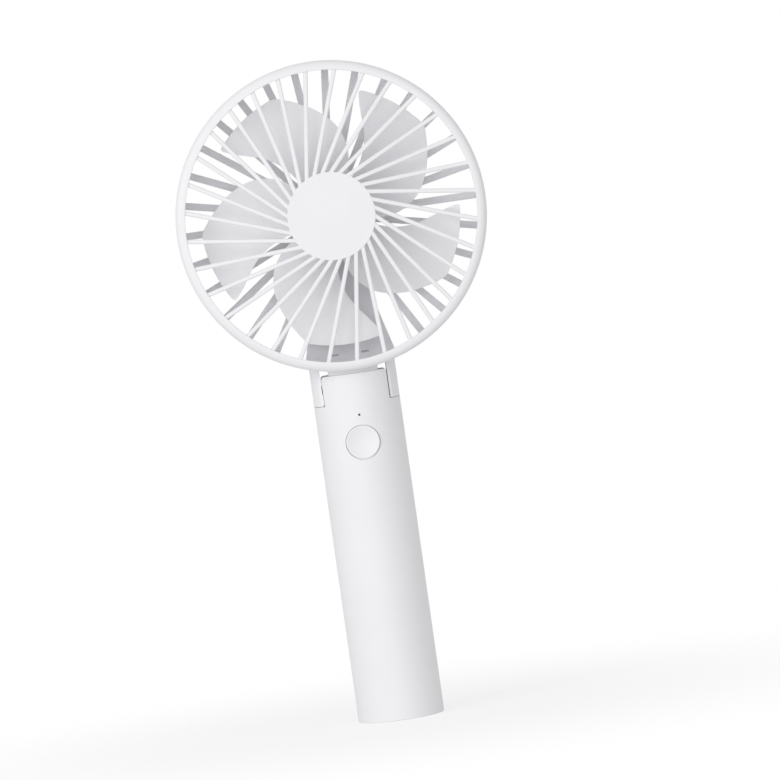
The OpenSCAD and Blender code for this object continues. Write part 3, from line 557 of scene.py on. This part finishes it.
# %% [markdown]
# ## Front grille
#
# The front grille is a ring with a broad flat front, a bare hub disc, and thirty-two straight ribs
# between them. The ribs do not aim at the centre: each passes it at a fixed distance, so the whole
# set swirls. A rib stands on edge, so from the front it is a thin bright line with a shaded flank. At
# its inner end it runs flush into the disc's face and melts into it.

# %% Turn the ring and the disc
ring_out = ring_r / MM
ring_wall = 1.9
ring_in = ring_out - ring_wall
ring_front = -20.5
ring_split = -9.7
ring_seam = 0.06
ring_steps = 160
flange_in = 50.2
flange_rear = ring_front + 2.6
disc_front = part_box("front_grille")[0].y / MM
disc_rear = disc_front + 2.0
disc_radius = 15.15
skirt_in = 13.4
skirt_rear = -17.5
disc_steps = 128

front_ring = turned([
    (flange_in, ring_front, 0.15), (ring_out, ring_front, 2.4), (ring_out, ring_split - ring_seam, 0.18),
    (ring_in, ring_split - ring_seam, 0), (ring_in, flange_rear, 0.3), (flange_in, flange_rear, 0.1),
], ring_steps)
hub_disc = turned([
    (0, disc_front, 0), (disc_radius, disc_front, 0.15), (disc_radius, skirt_rear, 0.25),
    (skirt_in, skirt_rear, 0.2), (skirt_in, disc_rear, 0.3), (0, disc_rear, 0),
], disc_steps)
print("ring", len(front_ring.faces), "faces, disc", len(hub_disc.faces), "faces")

# %% Lay one rib and repeat it
rib_count = 32
rib_width = 1.5
rib_sweep = 8.3
rib_phase = 2.15
rib_rounding = 0.42
rib_root, rib_tip = 14.0, flange_in + 0.9
rib_start = math.sqrt(rib_root ** 2 - rib_sweep ** 2)
rib_end = math.sqrt(rib_tip ** 2 - rib_sweep ** 2)
rib_side = [(rib_start, disc_front + 0.02), (rib_end, ring_front + 0.5), (rib_end, ring_front + 3.5),
            (rib_start, skirt_rear - 0.1)]
rib = extruded([(x * MM, y * MM, fan.z + (rib_sweep - rib_width / 2) * MM) for x, y in rib_side],
               Vector((0, 0, rib_width * MM)), rib_rounding, segments=3)
rib_turn = rib_phase - math.degrees(math.asin(rib_sweep / flange_in))
front_ribs = repeated(rib, [rib_turn + k * 360 / rib_count for k in range(rib_count)])
finish_piece(joined(front_ring, hub_disc, front_ribs), "front_grille_dressed", "head", white_abs,
             ["front_grille"])

# %% [markdown]
# ## Rear grille
#
# The rear grille is a second ring that closes on the first, a cup that holds the motor, and flat spokes
# that slope from the cup down to the ring. Below the cup four spokes give way to one wedge shaped
# neck plate. Two ears hang from the ring on either side of the handle's knuckle, each a slice of the
# handle's own cylinder, so the fan's outline runs on without a step.

# %% Turn the rear ring and the motor cup
ring_rear = 4.0
lip_in, lip_out, lip_front = 50.85, 51.35, ring_split - 2.0
cup_out = cup_r / MM
cup_in = cup_out - 1.4
cup_rear = cage_high.y / MM
cup_front = -5.5
cup_floor = -4.0
cup_hole = 4.2
slope_top = (cup_out, cup_rear - 0.5)
slope_foot = (50.0, ring_rear - 0.3)
slope = (slope_foot[1] - slope_top[1]) / (slope_foot[0] - slope_top[0])


def slope_y(r):
    """Depth of the sloping back at a radius, in mm."""
    return slope_top[1] + slope * (r - slope_top[0])


rear_ring = turned([
    (ring_in, ring_rear, 0.4), (ring_out, ring_rear, 1.2), (ring_out, ring_split + ring_seam, 0.18),
    (lip_out, ring_split + ring_seam, 0), (lip_out, lip_front, 0.15), (lip_in, lip_front, 0.15),
    (lip_in, ring_split + 0.6, 0.3), (ring_in, ring_split + 1.4, 0.3),
], ring_steps)
motor_cup = turned([
    (cup_hole, cup_front, 0.2), (cup_out, cup_front, 0.6), (cup_out, cup_rear, 0.2), (cup_in, cup_rear, 0.2),
    (cup_in, cup_floor, 0), (cup_hole, cup_floor, 0),
], round_steps)
print("rear ring", len(rear_ring.faces), "faces, cup", len(motor_cup.faces), "faces")

# %% Slope the spokes
spoke_places = 30
spoke_step = 360 / spoke_places
spoke_phase = 0.3
spoke_width = 2.5
spoke_depth = 2.0
spoke_rounding = 0.4
spoke_in, spoke_out = cup_out - 0.5, ring_in + 0.6
neck_angle, neck_clear = 270, 1.6 * spoke_step

spoke_side = [(spoke_in, slope_y(spoke_in)), (spoke_out, slope_y(spoke_out)),
              (spoke_out, slope_y(spoke_out) - spoke_depth), (spoke_in, slope_y(spoke_in) - spoke_depth)]
spoke = extruded([(r * MM, y * MM, fan.z - spoke_width / 2 * MM) for r, y in spoke_side],
                 Vector((0, 0, spoke_width * MM)), spoke_rounding)
all_places = [k * spoke_step for k in range(spoke_places)]
kept_places = [place for place in all_places if abs(place - neck_angle) > neck_clear]
spokes = repeated(spoke, [place + spoke_phase for place in kept_places])
print(len(kept_places), "spokes")

# %% Tools for the neck's plate and cover
neck_thickness = 2.8
neck_half_in, neck_half_out = 6.0, 16.0
neck_columns = 6
cover_inset = 1.2
cover_near, cover_far = cup_out + 2.5, slope_foot[0] - 1.0


def neck_half(depth):
    """Half width of the neck plate at a depth below the fan's axis, in mm."""
    share = (depth - cup_out) / (flange_in - cup_out)
    return neck_half_in + (neck_half_out - neck_half_in) * share


def neck_rows(near, far, count):
    """Depths of the rows from near to far."""
    return [near + (far - near) * i / count for i in range(count + 1)]


def neck_sheet(depths, inset):
    """A sheet on the sloping back, widening with depth, made of a grid with a border column each side.

    A row that ends in the cup or in the ring follows its round."""
    bm = bmesh.new()
    bmesh.ops.create_grid(bm, x_segments=neck_columns + 2, y_segments=len(depths) - 1, size=0.5)
    for v in bm.verts:
        depth = depths[round((0.5 - v.co.y) * (len(depths) - 1))]
        column = round((v.co.x + 0.5) * (neck_columns + 2)) - neck_columns / 2 - 1
        half = neck_half(depth) - inset
        x = 2 * (half - cover_inset) * column / neck_columns
        if abs(column) > neck_columns / 2:
            x = math.copysign(half, column)
        if depth in (spoke_in, spoke_out):
            depth = math.sqrt(depth ** 2 - x ** 2)
        v.co = Vector((x, slope_y(math.hypot(x, depth)), fan.z / MM - depth)) * MM
    return bm


def thicken(bm, depth):
    """Give an open sheet thickness towards the front."""
    draw_out(bm, list(bm.faces), (0, -depth * MM, 0))
    bmesh.ops.recalc_face_normals(bm, faces=bm.faces)


def in_pocket(face):
    """Whether a face of the neck plate lies where the cover goes."""
    middle = face.calc_center_median()
    depth = (fan.z - middle.z) / MM
    inside = cover_near < depth < cover_far and abs(middle.x) < (neck_half(depth) - cover_inset) * MM
    return inside and face.normal.y > 0.5


print("neck tools ready")

# %% Shape the neck plate with its pocket and its two slots
neck_plate = neck_sheet([spoke_in] + neck_rows(cover_near, cover_far, 8) + [spoke_out], 0)
thicken(neck_plate, neck_thickness)
pocket = [face for face in neck_plate.faces if in_pocket(face)]
draw_out(neck_plate, pocket, (0, -neck_thickness / 2 * MM, 0))
bmesh.ops.delete(neck_plate, geom=pocket, context="FACES_ONLY")
bmesh.ops.recalc_face_normals(neck_plate, faces=neck_plate.faces)

slot_x = 5.3
slot_half_long, slot_half_tall = 1.3, 0.35
slot_depth = slope_foot[0] - 1.8
slot_start = -6.0
slot_end = slope_y(slot_depth) - neck_thickness + 1.2
for side in (-1, 1):
    outline = rectangle(-slot_half_long, slot_half_long, -slot_half_tall, slot_half_tall)
    slot_cutter = extruded([Vector((side * slot_x + dx, slot_start, fan.z / MM - slot_depth + dz)) * MM
                            for dx, dz in outline], Vector((0, (slot_end - slot_start) * MM, 0)))
    neck_plate = cut(neck_plate, slot_cutter)
print("neck plate", len(neck_plate.faces), "faces")

# %% [markdown]
# An ear starts as a flat sheet in the side view. Plane cuts give it the slanted back, from a place and
# a direction in that view, and the round of the hinge, one tangent after another. It is then thickened
# outwards, and its outer skin is set on the handle's cylinder. Between the ears a landing pad fills the
# room from the ring down to the knuckle.

# %% Cut and thicken the ears
handle_radius = handle_r / MM
hinge_y, hinge_z = hinge.y / MM, hinge.z / MM
ear_inner = 11.6
ear_top = 126.4
ear_reach = 8.5
ear_over = 0.2
ear_round = knuckle_r / MM + ear_over
ear_low = (hinge.z - knuckle_r) / MM - ear_over
ear_back = ((9.5, 118.0), (8.7, 5.5))
ear_tangents = range(-82, 0, 12)
ear_rim = 0.35


def ear():
    """One ear on the +X side."""
    bm = bmesh.new()
    bmesh.ops.create_grid(bm, x_segments=26, y_segments=8, size=0.5)
    for v in bm.verts:
        z = ear_low + (ear_top - ear_low) * (v.co.y + 0.5)
        v.co = Vector((ear_inner, 2 * ear_reach * v.co.x, z)) * MM
    cuts = [ear_back]
    for degrees in ear_tangents:
        way = (math.cos(math.radians(degrees)), math.sin(math.radians(degrees)))
        cuts.append(((hinge_y + ear_round * way[0], hinge_z + ear_round * way[1]), way))
    for (y, z), way in cuts:
        trim(bm, all_of(bm), (0, y * MM, z * MM), (0, *way))
    skin = set(draw_out(bm, list(bm.faces), (0, 0, 0)))
    for v in skin:
        v.co.x = math.sqrt(max(handle_r ** 2 - v.co.y ** 2, (ear_inner * MM) ** 2))
    bmesh.ops.recalc_face_normals(bm, faces=bm.faces)
    rims = [e for e in bm.edges if skin.issuperset(e.verts) and e.calc_face_angle(0) > math.radians(40)
            and e.verts[0].co.z + e.verts[1].co.z < 2 * (ear_top - 0.1) * MM]
    round_edges(bm, rims, ear_rim, 3)
    return bm


right_ear = ear()
left_ear = right_ear.copy()
bmesh.ops.scale(left_ear, verts=left_ear.verts, vec=(-1, 1, 1))
bmesh.ops.reverse_faces(left_ear, faces=left_ear.faces)
print("an ear has", len(right_ear.faces), "faces")

# %% Add the landing pad and finish the rear grille
pad_half = 8.6
pad_inset = 1.0
pad_rear = ring_rear - 0.1
pad_low, pad_high = handle_top / MM + 0.05, 124.0
landing = bmesh.new()
bmesh.ops.create_circle(landing, cap_ends=True, segments=round_steps, radius=handle_r - pad_inset * MM)
for place, way in (((pad_half, 0, 0), (1, 0, 0)), ((-pad_half, 0, 0), (-1, 0, 0)),
                   ((0, pad_rear, 0), (0, 1, 0))):
    trim(landing, all_of(landing), Vector(place) * MM, way)
bmesh.ops.translate(landing, verts=landing.verts, vec=(0, 0, pad_low * MM))
draw_out(landing, list(landing.faces), (0, 0, (pad_high - pad_low) * MM))
bmesh.ops.recalc_face_normals(landing, faces=landing.faces)
finish_piece(joined(rear_ring, motor_cup, spokes, neck_plate, right_ear, left_ear, landing),
             "rear_grille_dressed", "head", cage_abs, ["rear_grille"])

# %% [markdown]
# ## Cover, cap and screws at the back
#
# The neck's pocket is closed by a thin cover that lies flush, with a hairline all round it. The motor is
# closed by a cap with a ring of vents. Small cross-head screws hold the cover and the two handle shells.

# %% Lay the neck cover in its pocket
cover_gap = 0.1
cover_play = 0.02
cover_rim = 0.15
cover_screws = (cover_near + 5, cover_far - 6)
screw_well = 1.65
screw_seat = 0.9


def on_slope(x, y, z):
    """Whether a place in mm lies on the sloping back."""
    return abs(y - slope_y(math.hypot(x, z - fan.z / MM))) < 0.05


neck_cover = neck_sheet(neck_rows(cover_near + cover_gap, cover_far - cover_gap, 16), cover_inset + cover_gap)
thicken(neck_cover, neck_thickness / 2 - cover_play)
cover_rims = [e for e in edges_at(neck_cover, on_slope) if e.calc_face_angle(0) > math.radians(50)]
round_edges(neck_cover, cover_rims, cover_rim, 2)
for depth in cover_screws:
    seat = slope_y(depth) - screw_seat
    neck_cover = cut(neck_cover, tube_solid(screw_well, seat, outside, 0, fan.z / MM - depth))
finish_piece(neck_cover, "neck_cover_dressed", "head", cage_abs, ["neck_cover"])

# %% Turn the motor cap and cut its vents
cap_rear = cap_high.y / MM
dimple_out, dimple_in, dimple_floor = 2.6, 2.2, cap_rear - 0.4
vent_count = 8
vent_near, vent_far, vent_half = 4.5, 9.0, 0.75
vent_front, vent_length = cup_rear - 1, 5.0
vent_rounding = 0.7

motor_cap = turned([
    (0, cup_rear, 0), (cup_out, cup_rear, 0.15), (cup_out, cap_rear, 0.7), (dimple_out, cap_rear, 0.2),
    (dimple_in, dimple_floor, 0.2), (0, dimple_floor, 0),
], round_steps)
vent = extruded([Vector((r, vent_front, fan.z / MM + w)) * MM
                 for r, w in rectangle(vent_near, vent_far, -vent_half, vent_half)],
                Vector((0, vent_length * MM, 0)))
vent_ends = [e for e in vent.edges if abs(e.verts[0].co.y - e.verts[1].co.y) > vent_length * MM / 2]
round_edges(vent, vent_ends, vent_rounding, 4)
vents = repeated(vent, [k * 360 / vent_count for k in range(vent_count)])
motor_cap = cut(motor_cap, vents)
finish_piece(motor_cap, "motor_cap_dressed", "head", cage_abs, ["motor_cap"])

# %% Make the cross-head screws
arm_share, arm_half, arm_sink = 0.62, 0.22, 0.55
screw_steps = 40


def screw(head_r, head_low, head_high, shank_r, tip, z):
    """A screw along Y whose head looks backwards, with a cross recess; sizes in mm."""
    body = turned([
        (0, tip, 0), (shank_r * 0.4, tip, 0), (shank_r, tip + 0.8, 0), (shank_r, head_low, 0),
        (head_r, head_low, 0.1), (head_r, head_high, 0.45), (0, head_high + 0.08, 0),
    ], screw_steps, z * MM)
    reach = arm_share * head_r
    for turn_angle in (0, 90):
        arm = extruded([Vector((x, head_high - arm_sink, z + w)) * MM
                        for x, w in rectangle(-reach, reach, -arm_half, arm_half)], Vector((0, 2 * MM, 0)))
        bmesh.ops.rotate(arm, verts=arm.verts, cent=(0, 0, z * MM),
                         matrix=Matrix.Rotation(math.radians(turn_angle), 3, "Y"))
        body = cut(body, arm)
    return body


neck_screws = joined(*[screw(1.5, slope_y(depth) - screw_seat, slope_y(depth) - 0.1, 0.8,
                             slope_y(depth) - 2.7, fan.z / MM - depth) for depth in cover_screws])
finish_piece(neck_screws, "neck_screws_dressed", "head", screw_steel, ["neck_screws"])
shell_head = 1.9
shell_seat = 8.0
shell_low, shell_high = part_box("shell_screws")
shell_heights = (shell_low.z / MM + shell_head, shell_high.z / MM - shell_head)
shell_screws = joined(*[screw(shell_head, shell_seat, shell_seat + 1.4, 1.0, -6.0, z) for z in shell_heights])
finish_piece(shell_screws, "shell_screws_dressed", "handle", screw_steel, ["shell_screws"])

# %% [markdown]
# ## Impeller
#
# Five broad blades sweep round a deep hub. Two curves bound a blade in the front view, its leading and
# its trailing edge, and the tip runs from the end of one to the end of the other. Points between the
# curves are spread in polar coordinates. Their depth follows a pitched and slightly cambered sheet.

# %% Spread one blade between its two edges
hub_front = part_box("impeller")[0].y / MM
blade_count = 5
blade_thickness = 1.6
blade_pitch = math.radians(16)
blade_line = math.radians(50)
blade_mid = hub_front + 9.0
blade_root = 14.0
camber_radius = 60.0
tip_rounding, rim_rounding = 1.3, 0.5
leading_edge = [Vector(p) for p in ((13.2, -2.8), (27.0, -4.5), (37.5, 4.0), (36.4, 26.5))]
trailing_edge = [Vector(p) for p in ((7.9, 10.9), (19.5, 23.5), (13.5, 32.0), (15.5, 41.6))]


def curve_point(control, t):
    """Point of a cubic curve at t from 0 to 1."""
    a, b, c, d = control
    return (1 - t) ** 3 * a + 3 * (1 - t) ** 2 * t * b + 3 * (1 - t) * t ** 2 * c + t ** 3 * d


def blade_y(x, z):
    """Depth of the blade's middle sheet at a place in the front view, in mm."""
    across = -math.sin(blade_line) * x + math.cos(blade_line) * z
    along_sheet = across / math.cos(blade_pitch)
    camber = math.cos(blade_pitch) * along_sheet ** 2 / (2 * camber_radius)
    return blade_mid - math.tan(blade_pitch) * across - camber


blade = bmesh.new()
bmesh.ops.create_grid(blade, x_segments=18, y_segments=26, size=0.5)
tip_corners = [v for v in blade.verts if abs(v.co.x) > 0.499 and v.co.y > 0.499]
for v in blade.verts:
    share, along = v.co.x + 0.5, v.co.y + 0.5
    lead = curve_point(leading_edge, along)
    trail = curve_point(trailing_edge, along)
    lead_angle, trail_angle = math.atan2(lead.y, lead.x), math.atan2(trail.y, trail.x)
    radius = lead.length + (trail.length - lead.length) * share
    angle = lead_angle + (trail_angle - lead_angle) * share
    x, z = radius * math.cos(angle), radius * math.sin(angle)
    v.co = Vector((x, blade_y(x, z) - blade_thickness / 2, fan.z / MM + z)) * MM
round_corners(blade, tip_corners, tip_rounding)
thicken(blade, -blade_thickness)
free_edges = edges_at(blade, lambda x, y, z: math.hypot(x, z - fan.z / MM) > blade_root)
round_edges(blade, [e for e in free_edges if e.calc_face_angle(0) > math.radians(50)], rim_rounding, 2)
print("one blade has", len(blade.faces), "faces")

# %% Turn the hub and set the blades on it
hub_radius = 14.8
hub_in = hub_radius - 1.3
hub_rear = hub_front + 13.5
hub_floor = hub_front + 2.0
hub = turned([
    (0, hub_front, 0), (hub_radius, hub_front, 1.2), (hub_radius, hub_rear, 0.3), (hub_in, hub_rear, 0.2),
    (hub_in, hub_floor, 0.3), (0, hub_floor, 0),
], round_steps)
blades = repeated(blade, [k * 360 / blade_count for k in range(blade_count)])
finish_piece(joined(hub, blades), "impeller_dressed", "rotor", blade_abs, ["impeller"])

# %% [markdown]
# ## Handle
#
# The handle is a plain cylinder whose top carries a knuckle between two ledges. It starts as a disc
# drawn up to the ledges. The top is cut into strips, and the middle strip is drawn on to the knuckle's
# height. Its back edge takes a large round, the barrel of the hinge, and its two side corners are
# trimmed by one tangent plane after another. The handle is then cut down the middle into a front and a
# rear shell with a fine parting line, and its foot is hollowed for the base pad.

# %% Draw the handle up to its knuckle
knuckle_half = 11.35
knuckle_back = (hinge.y + knuckle_r) / MM
handle_sides = 128


def top_faces():
    """The faces of the handle that look up."""
    return [f for f in handle.faces if f.normal.z > 0.9]


handle = bmesh.new()
bmesh.ops.create_circle(handle, cap_ends=True, segments=handle_sides, radius=handle_r)
draw_out(handle, list(handle.faces), (0, 0, ledge_z))
bmesh.ops.recalc_face_normals(handle, faces=handle.faces)
for place, way in (((knuckle_half, 0, 0), (1, 0, 0)), ((-knuckle_half, 0, 0), (1, 0, 0)),
                   ((0, knuckle_back, 0), (0, 1, 0))):
    bmesh.ops.bisect_plane(handle, geom=with_rims(top_faces()), dist=weld, plane_co=Vector(place) * MM,
                           plane_no=way)
middle_strip = [f for f in top_faces() if abs(f.calc_center_median().x) < 2 * MM
                and f.calc_center_median().y < knuckle_back * MM]
draw_out(handle, middle_strip, (0, 0, handle_top - ledge_z))
bmesh.ops.delete(handle, geom=middle_strip, context="FACES_ONLY")
bmesh.ops.recalc_face_normals(handle, faces=handle.faces)
print("handle drawn,", len(handle.faces), "faces")

# %% Round the barrel, the knuckle and the base
top_mm, ledge_mm = handle_top / MM, ledge_z / MM
near = 0.01
barrel_round, corner_round, base_round, ledge_round = 4.9, 1.3, 0.3, 0.4
corner_tangents = (18, 36, 54, 72)


def on_skin(x, y):
    """Whether a place in mm is on the handle's round."""
    return math.hypot(x, y) > handle_radius - 0.1


barrel = edges_at(handle, lambda x, y, z: z > top_mm - near and y > knuckle_back - near)
round_edges(handle, barrel, barrel_round, 10)
for side in (-1, 1):
    middle = Vector((side * (knuckle_half - corner_round), 0, top_mm - corner_round)) * MM
    for degrees in corner_tangents:
        way = Vector((side * math.cos(math.radians(degrees)), 0, math.sin(math.radians(degrees))))
        upper = [f for f in handle.faces if f.calc_center_median().z > ledge_z + 0.5 * MM]
        loop = trim(handle, with_rims(upper), middle + corner_round * MM * way, way)
        bmesh.ops.holes_fill(handle, edges=loop, sides=0)
bmesh.ops.recalc_face_normals(handle, faces=handle.faces)
base_rim = edges_at(handle, lambda x, y, z: z < near and on_skin(x, y))
round_edges(handle, base_rim, base_round, 3)
ledge_rims = edges_at(handle, lambda x, y, z: abs(z - ledge_mm) < near and on_skin(x, y))
round_edges(handle, ledge_rims, ledge_round, 3)
print("handle rounded,", len(handle.faces), "faces")

# %% Part the handle into two shells
parting_gap = 0.03 * MM
parting_chamfer = 0.12
foot_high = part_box("base_pad")[1]
pad_gap = 0.12 * MM
pad_play = 0.02 * MM


def shell_half(side):
    """The front (-1) or rear (1) half, closed on the parting plane, with a fine chamfer along it."""
    half = handle.copy()
    rim = trim(half, all_of(half), (0, side * parting_gap, 0), (0, -side, 0))
    bmesh.ops.holes_fill(half, edges=rim, sides=0)
    bmesh.ops.recalc_face_normals(half, faces=half.faces)
    seam = [e for e in half.edges if all(abs(v.co.y - side * parting_gap) < 1e-6 for v in e.verts)
            and e.calc_face_angle(0) > math.radians(40)]
    round_edges(half, seam, parting_chamfer, 1)
    return half


front_shell, rear_shell = [
    cut(shell_half(side), upright_disc(foot_high.x + pad_gap, -MM, foot_high.z + pad_play))
    for side in (-1, 1)]
handle.free()
print("front shell", len(front_shell.faces), "faces, rear shell", len(rear_shell.faces), "faces")

# %% Cut the front shell's holes
button_low, button_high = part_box("power_button")
button_z = (button_low.z + button_high.z) / 2 / MM
button_radius = 5.8
groove = 0.26
hole_radius = button_radius + groove
hole_rim = 0.16
collar_front = 0.85 - handle_radius
well_radius = hole_radius + 0.7
well_front, well_rear = collar_front - 0.1, -9.0
light_low, light_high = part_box("light_pipe")
light_z = (light_low.z + light_high.z) / 2 / MM
light_radius = 0.4
light_play = 0.02
light_steps = 32


def follow_handle(bm):
    """Bend a piece that looks to the front so that it follows the handle's round."""
    for v in bm.verts:
        v.co.y += handle_r - math.sqrt(handle_r ** 2 - v.co.x ** 2)


well = turned([
    (0, well_front, 0), (well_radius, well_front, 0), (well_radius, well_rear, 0), (0, well_rear, 0),
], round_steps, button_z * MM)
follow_handle(well)
front_shell = cut(front_shell, well)
front_shell = cut(front_shell, tube_solid(hole_radius, -outside, well_rear - 0.5, 0, button_z, round_steps))
rim = edges_at(front_shell, lambda x, y, z: abs(math.hypot(x, z - button_z) - hole_radius) < 0.02
               and math.hypot(x, y) > handle_radius - 0.05)
round_edges(front_shell, rim, hole_rim, 2)
light_hole = light_radius + light_play
front_shell = cut(front_shell, tube_solid(light_hole, -outside, well_rear, 0, light_z, light_steps))
finish_piece(front_shell, "handle_front_dressed", "handle", white_abs, ["handle_front_shell"],
             sharp_angle=40)

# %% Cut the rear shell's screw wells and charging slot
shell_well = 2.1
socket_gap = 0.3
socket_low, socket_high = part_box("charging_socket")
socket_z = (socket_low.z + socket_high.z) / 2 / MM
socket_half = (socket_high.x - socket_low.x) / 2 / MM
socket_tall = (socket_high.z - socket_low.z) / MM


def slot_solid(half_width, height, y0, y1, z):
    """A slot with round ends along Y, for cutting or for a socket's shell; sizes in mm."""
    straight = half_width - height / 2
    points = []
    for side in (1, -1):
        for i in range(13):
            a = math.radians(-90 + 15 * i)
            points.append(Vector((side * (straight + height / 2 * math.cos(a)), y0,
                                  z + side * height / 2 * math.sin(a))) * MM)
    return extruded(points, Vector((0, (y1 - y0) * MM, 0)))


for z in shell_heights:
    rear_shell = cut(rear_shell, tube_solid(shell_well, shell_seat, outside, 0, z))
charging_slot = slot_solid(socket_half + socket_gap, socket_tall + 2 * socket_gap, shell_seat, outside,
                           socket_z)
rear_shell = cut(rear_shell, charging_slot)
finish_piece(rear_shell, "handle_rear_dressed", "handle", white_abs, ["handle_rear_shell"],
             sharp_angle=40)

# %% [markdown]
# ## Button, light, socket and base
#
# The button fills a round hole in the handle's front. Its face is a shallow dish with a soft rim, and a
# groove of a quarter of a millimetre runs round it. A collar behind the shell closes the groove. The
# light is a dot of smoked plastic above it. At the back sits the charging socket, a rolled steel shell
# with a black tongue.

# %% Turn the button
button_front = 0.45 - handle_radius
button_rear = button_front + 2.5
button_sag = 0.9
button_play = 0.05
dish_radius = button_radius - 0.35
dish_steps = 10
dish = []
for i in range(dish_steps + 1):
    share = i / dish_steps
    dish.append((dish_radius * share, button_front + button_sag * (1 - share ** 2), 0))
button_cap = turned(dish + [
    (button_radius, button_front, 0.2), (button_radius, button_rear, 0), (0, button_rear, 0),
], round_steps, button_z * MM)
bmesh.ops.translate(button_cap, verts=button_cap.verts, vec=Vector((-button_play, 0, 2 * button_play)) * MM)
collar_in, collar_out, collar_rear = button_radius - 0.2, hole_radius + 0.4, collar_front + 1.0
button_collar = turned([
    (collar_in, collar_front, 0), (collar_out, collar_front, 0), (collar_out, collar_rear, 0),
    (collar_in, collar_rear, 0),
], round_steps, button_z * MM)
follow_handle(button_collar)
finish_piece(joined(button_cap, button_collar), "power_button_dressed", "button", white_abs,
             ["power_button"], sharp_angle=50)

# %% Turn the light pipe
light_pipe = turned([
    (0, light_low.y / MM, 0), (light_radius, light_low.y / MM, 0.1), (light_radius, light_high.y / MM, 0),
    (0, light_high.y / MM, 0),
], light_steps, light_z * MM)
finish_piece(light_pipe, "light_pipe_dressed", "handle", smoked_clear, ["light_pipe"])

# %% Roll the charging socket's shell and set its tongue
socket_wall = 0.3
socket_front, socket_face = socket_low.y / MM, socket_high.y / MM
socket_shell = slot_solid(socket_half, socket_tall, socket_front, socket_face, socket_z)
socket_room = slot_solid(socket_half - socket_wall, socket_tall - 2 * socket_wall, socket_front + 0.5,
                         socket_face + 1, socket_z)
socket_shell = cut(socket_shell, socket_room)
finish_piece(socket_shell, "charging_socket_dressed", "handle", socket_steel,
             ["charging_socket"])
tongue_low, tongue_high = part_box("socket_tongue")
tongue_outline = rectangle(tongue_low.x, tongue_high.x, tongue_low.z, tongue_high.z)
tongue = extruded([Vector((x, tongue_low.y, z)) for x, z in tongue_outline],
                  Vector((0, tongue_high.y - tongue_low.y, 0)), rounding=0.1)
finish_piece(tongue, "socket_tongue_dressed", "handle", black_nylon, ["socket_tongue"])

# %% Press the base pad
base_pad = upright_disc(foot_high.x, 0, foot_high.z)
round_edges(base_pad, edges_at(base_pad, lambda x, y, z: z < near), base_round, 2)
finish_piece(base_pad, "base_pad_dressed", "handle", pad_rubber, ["base_pad"])
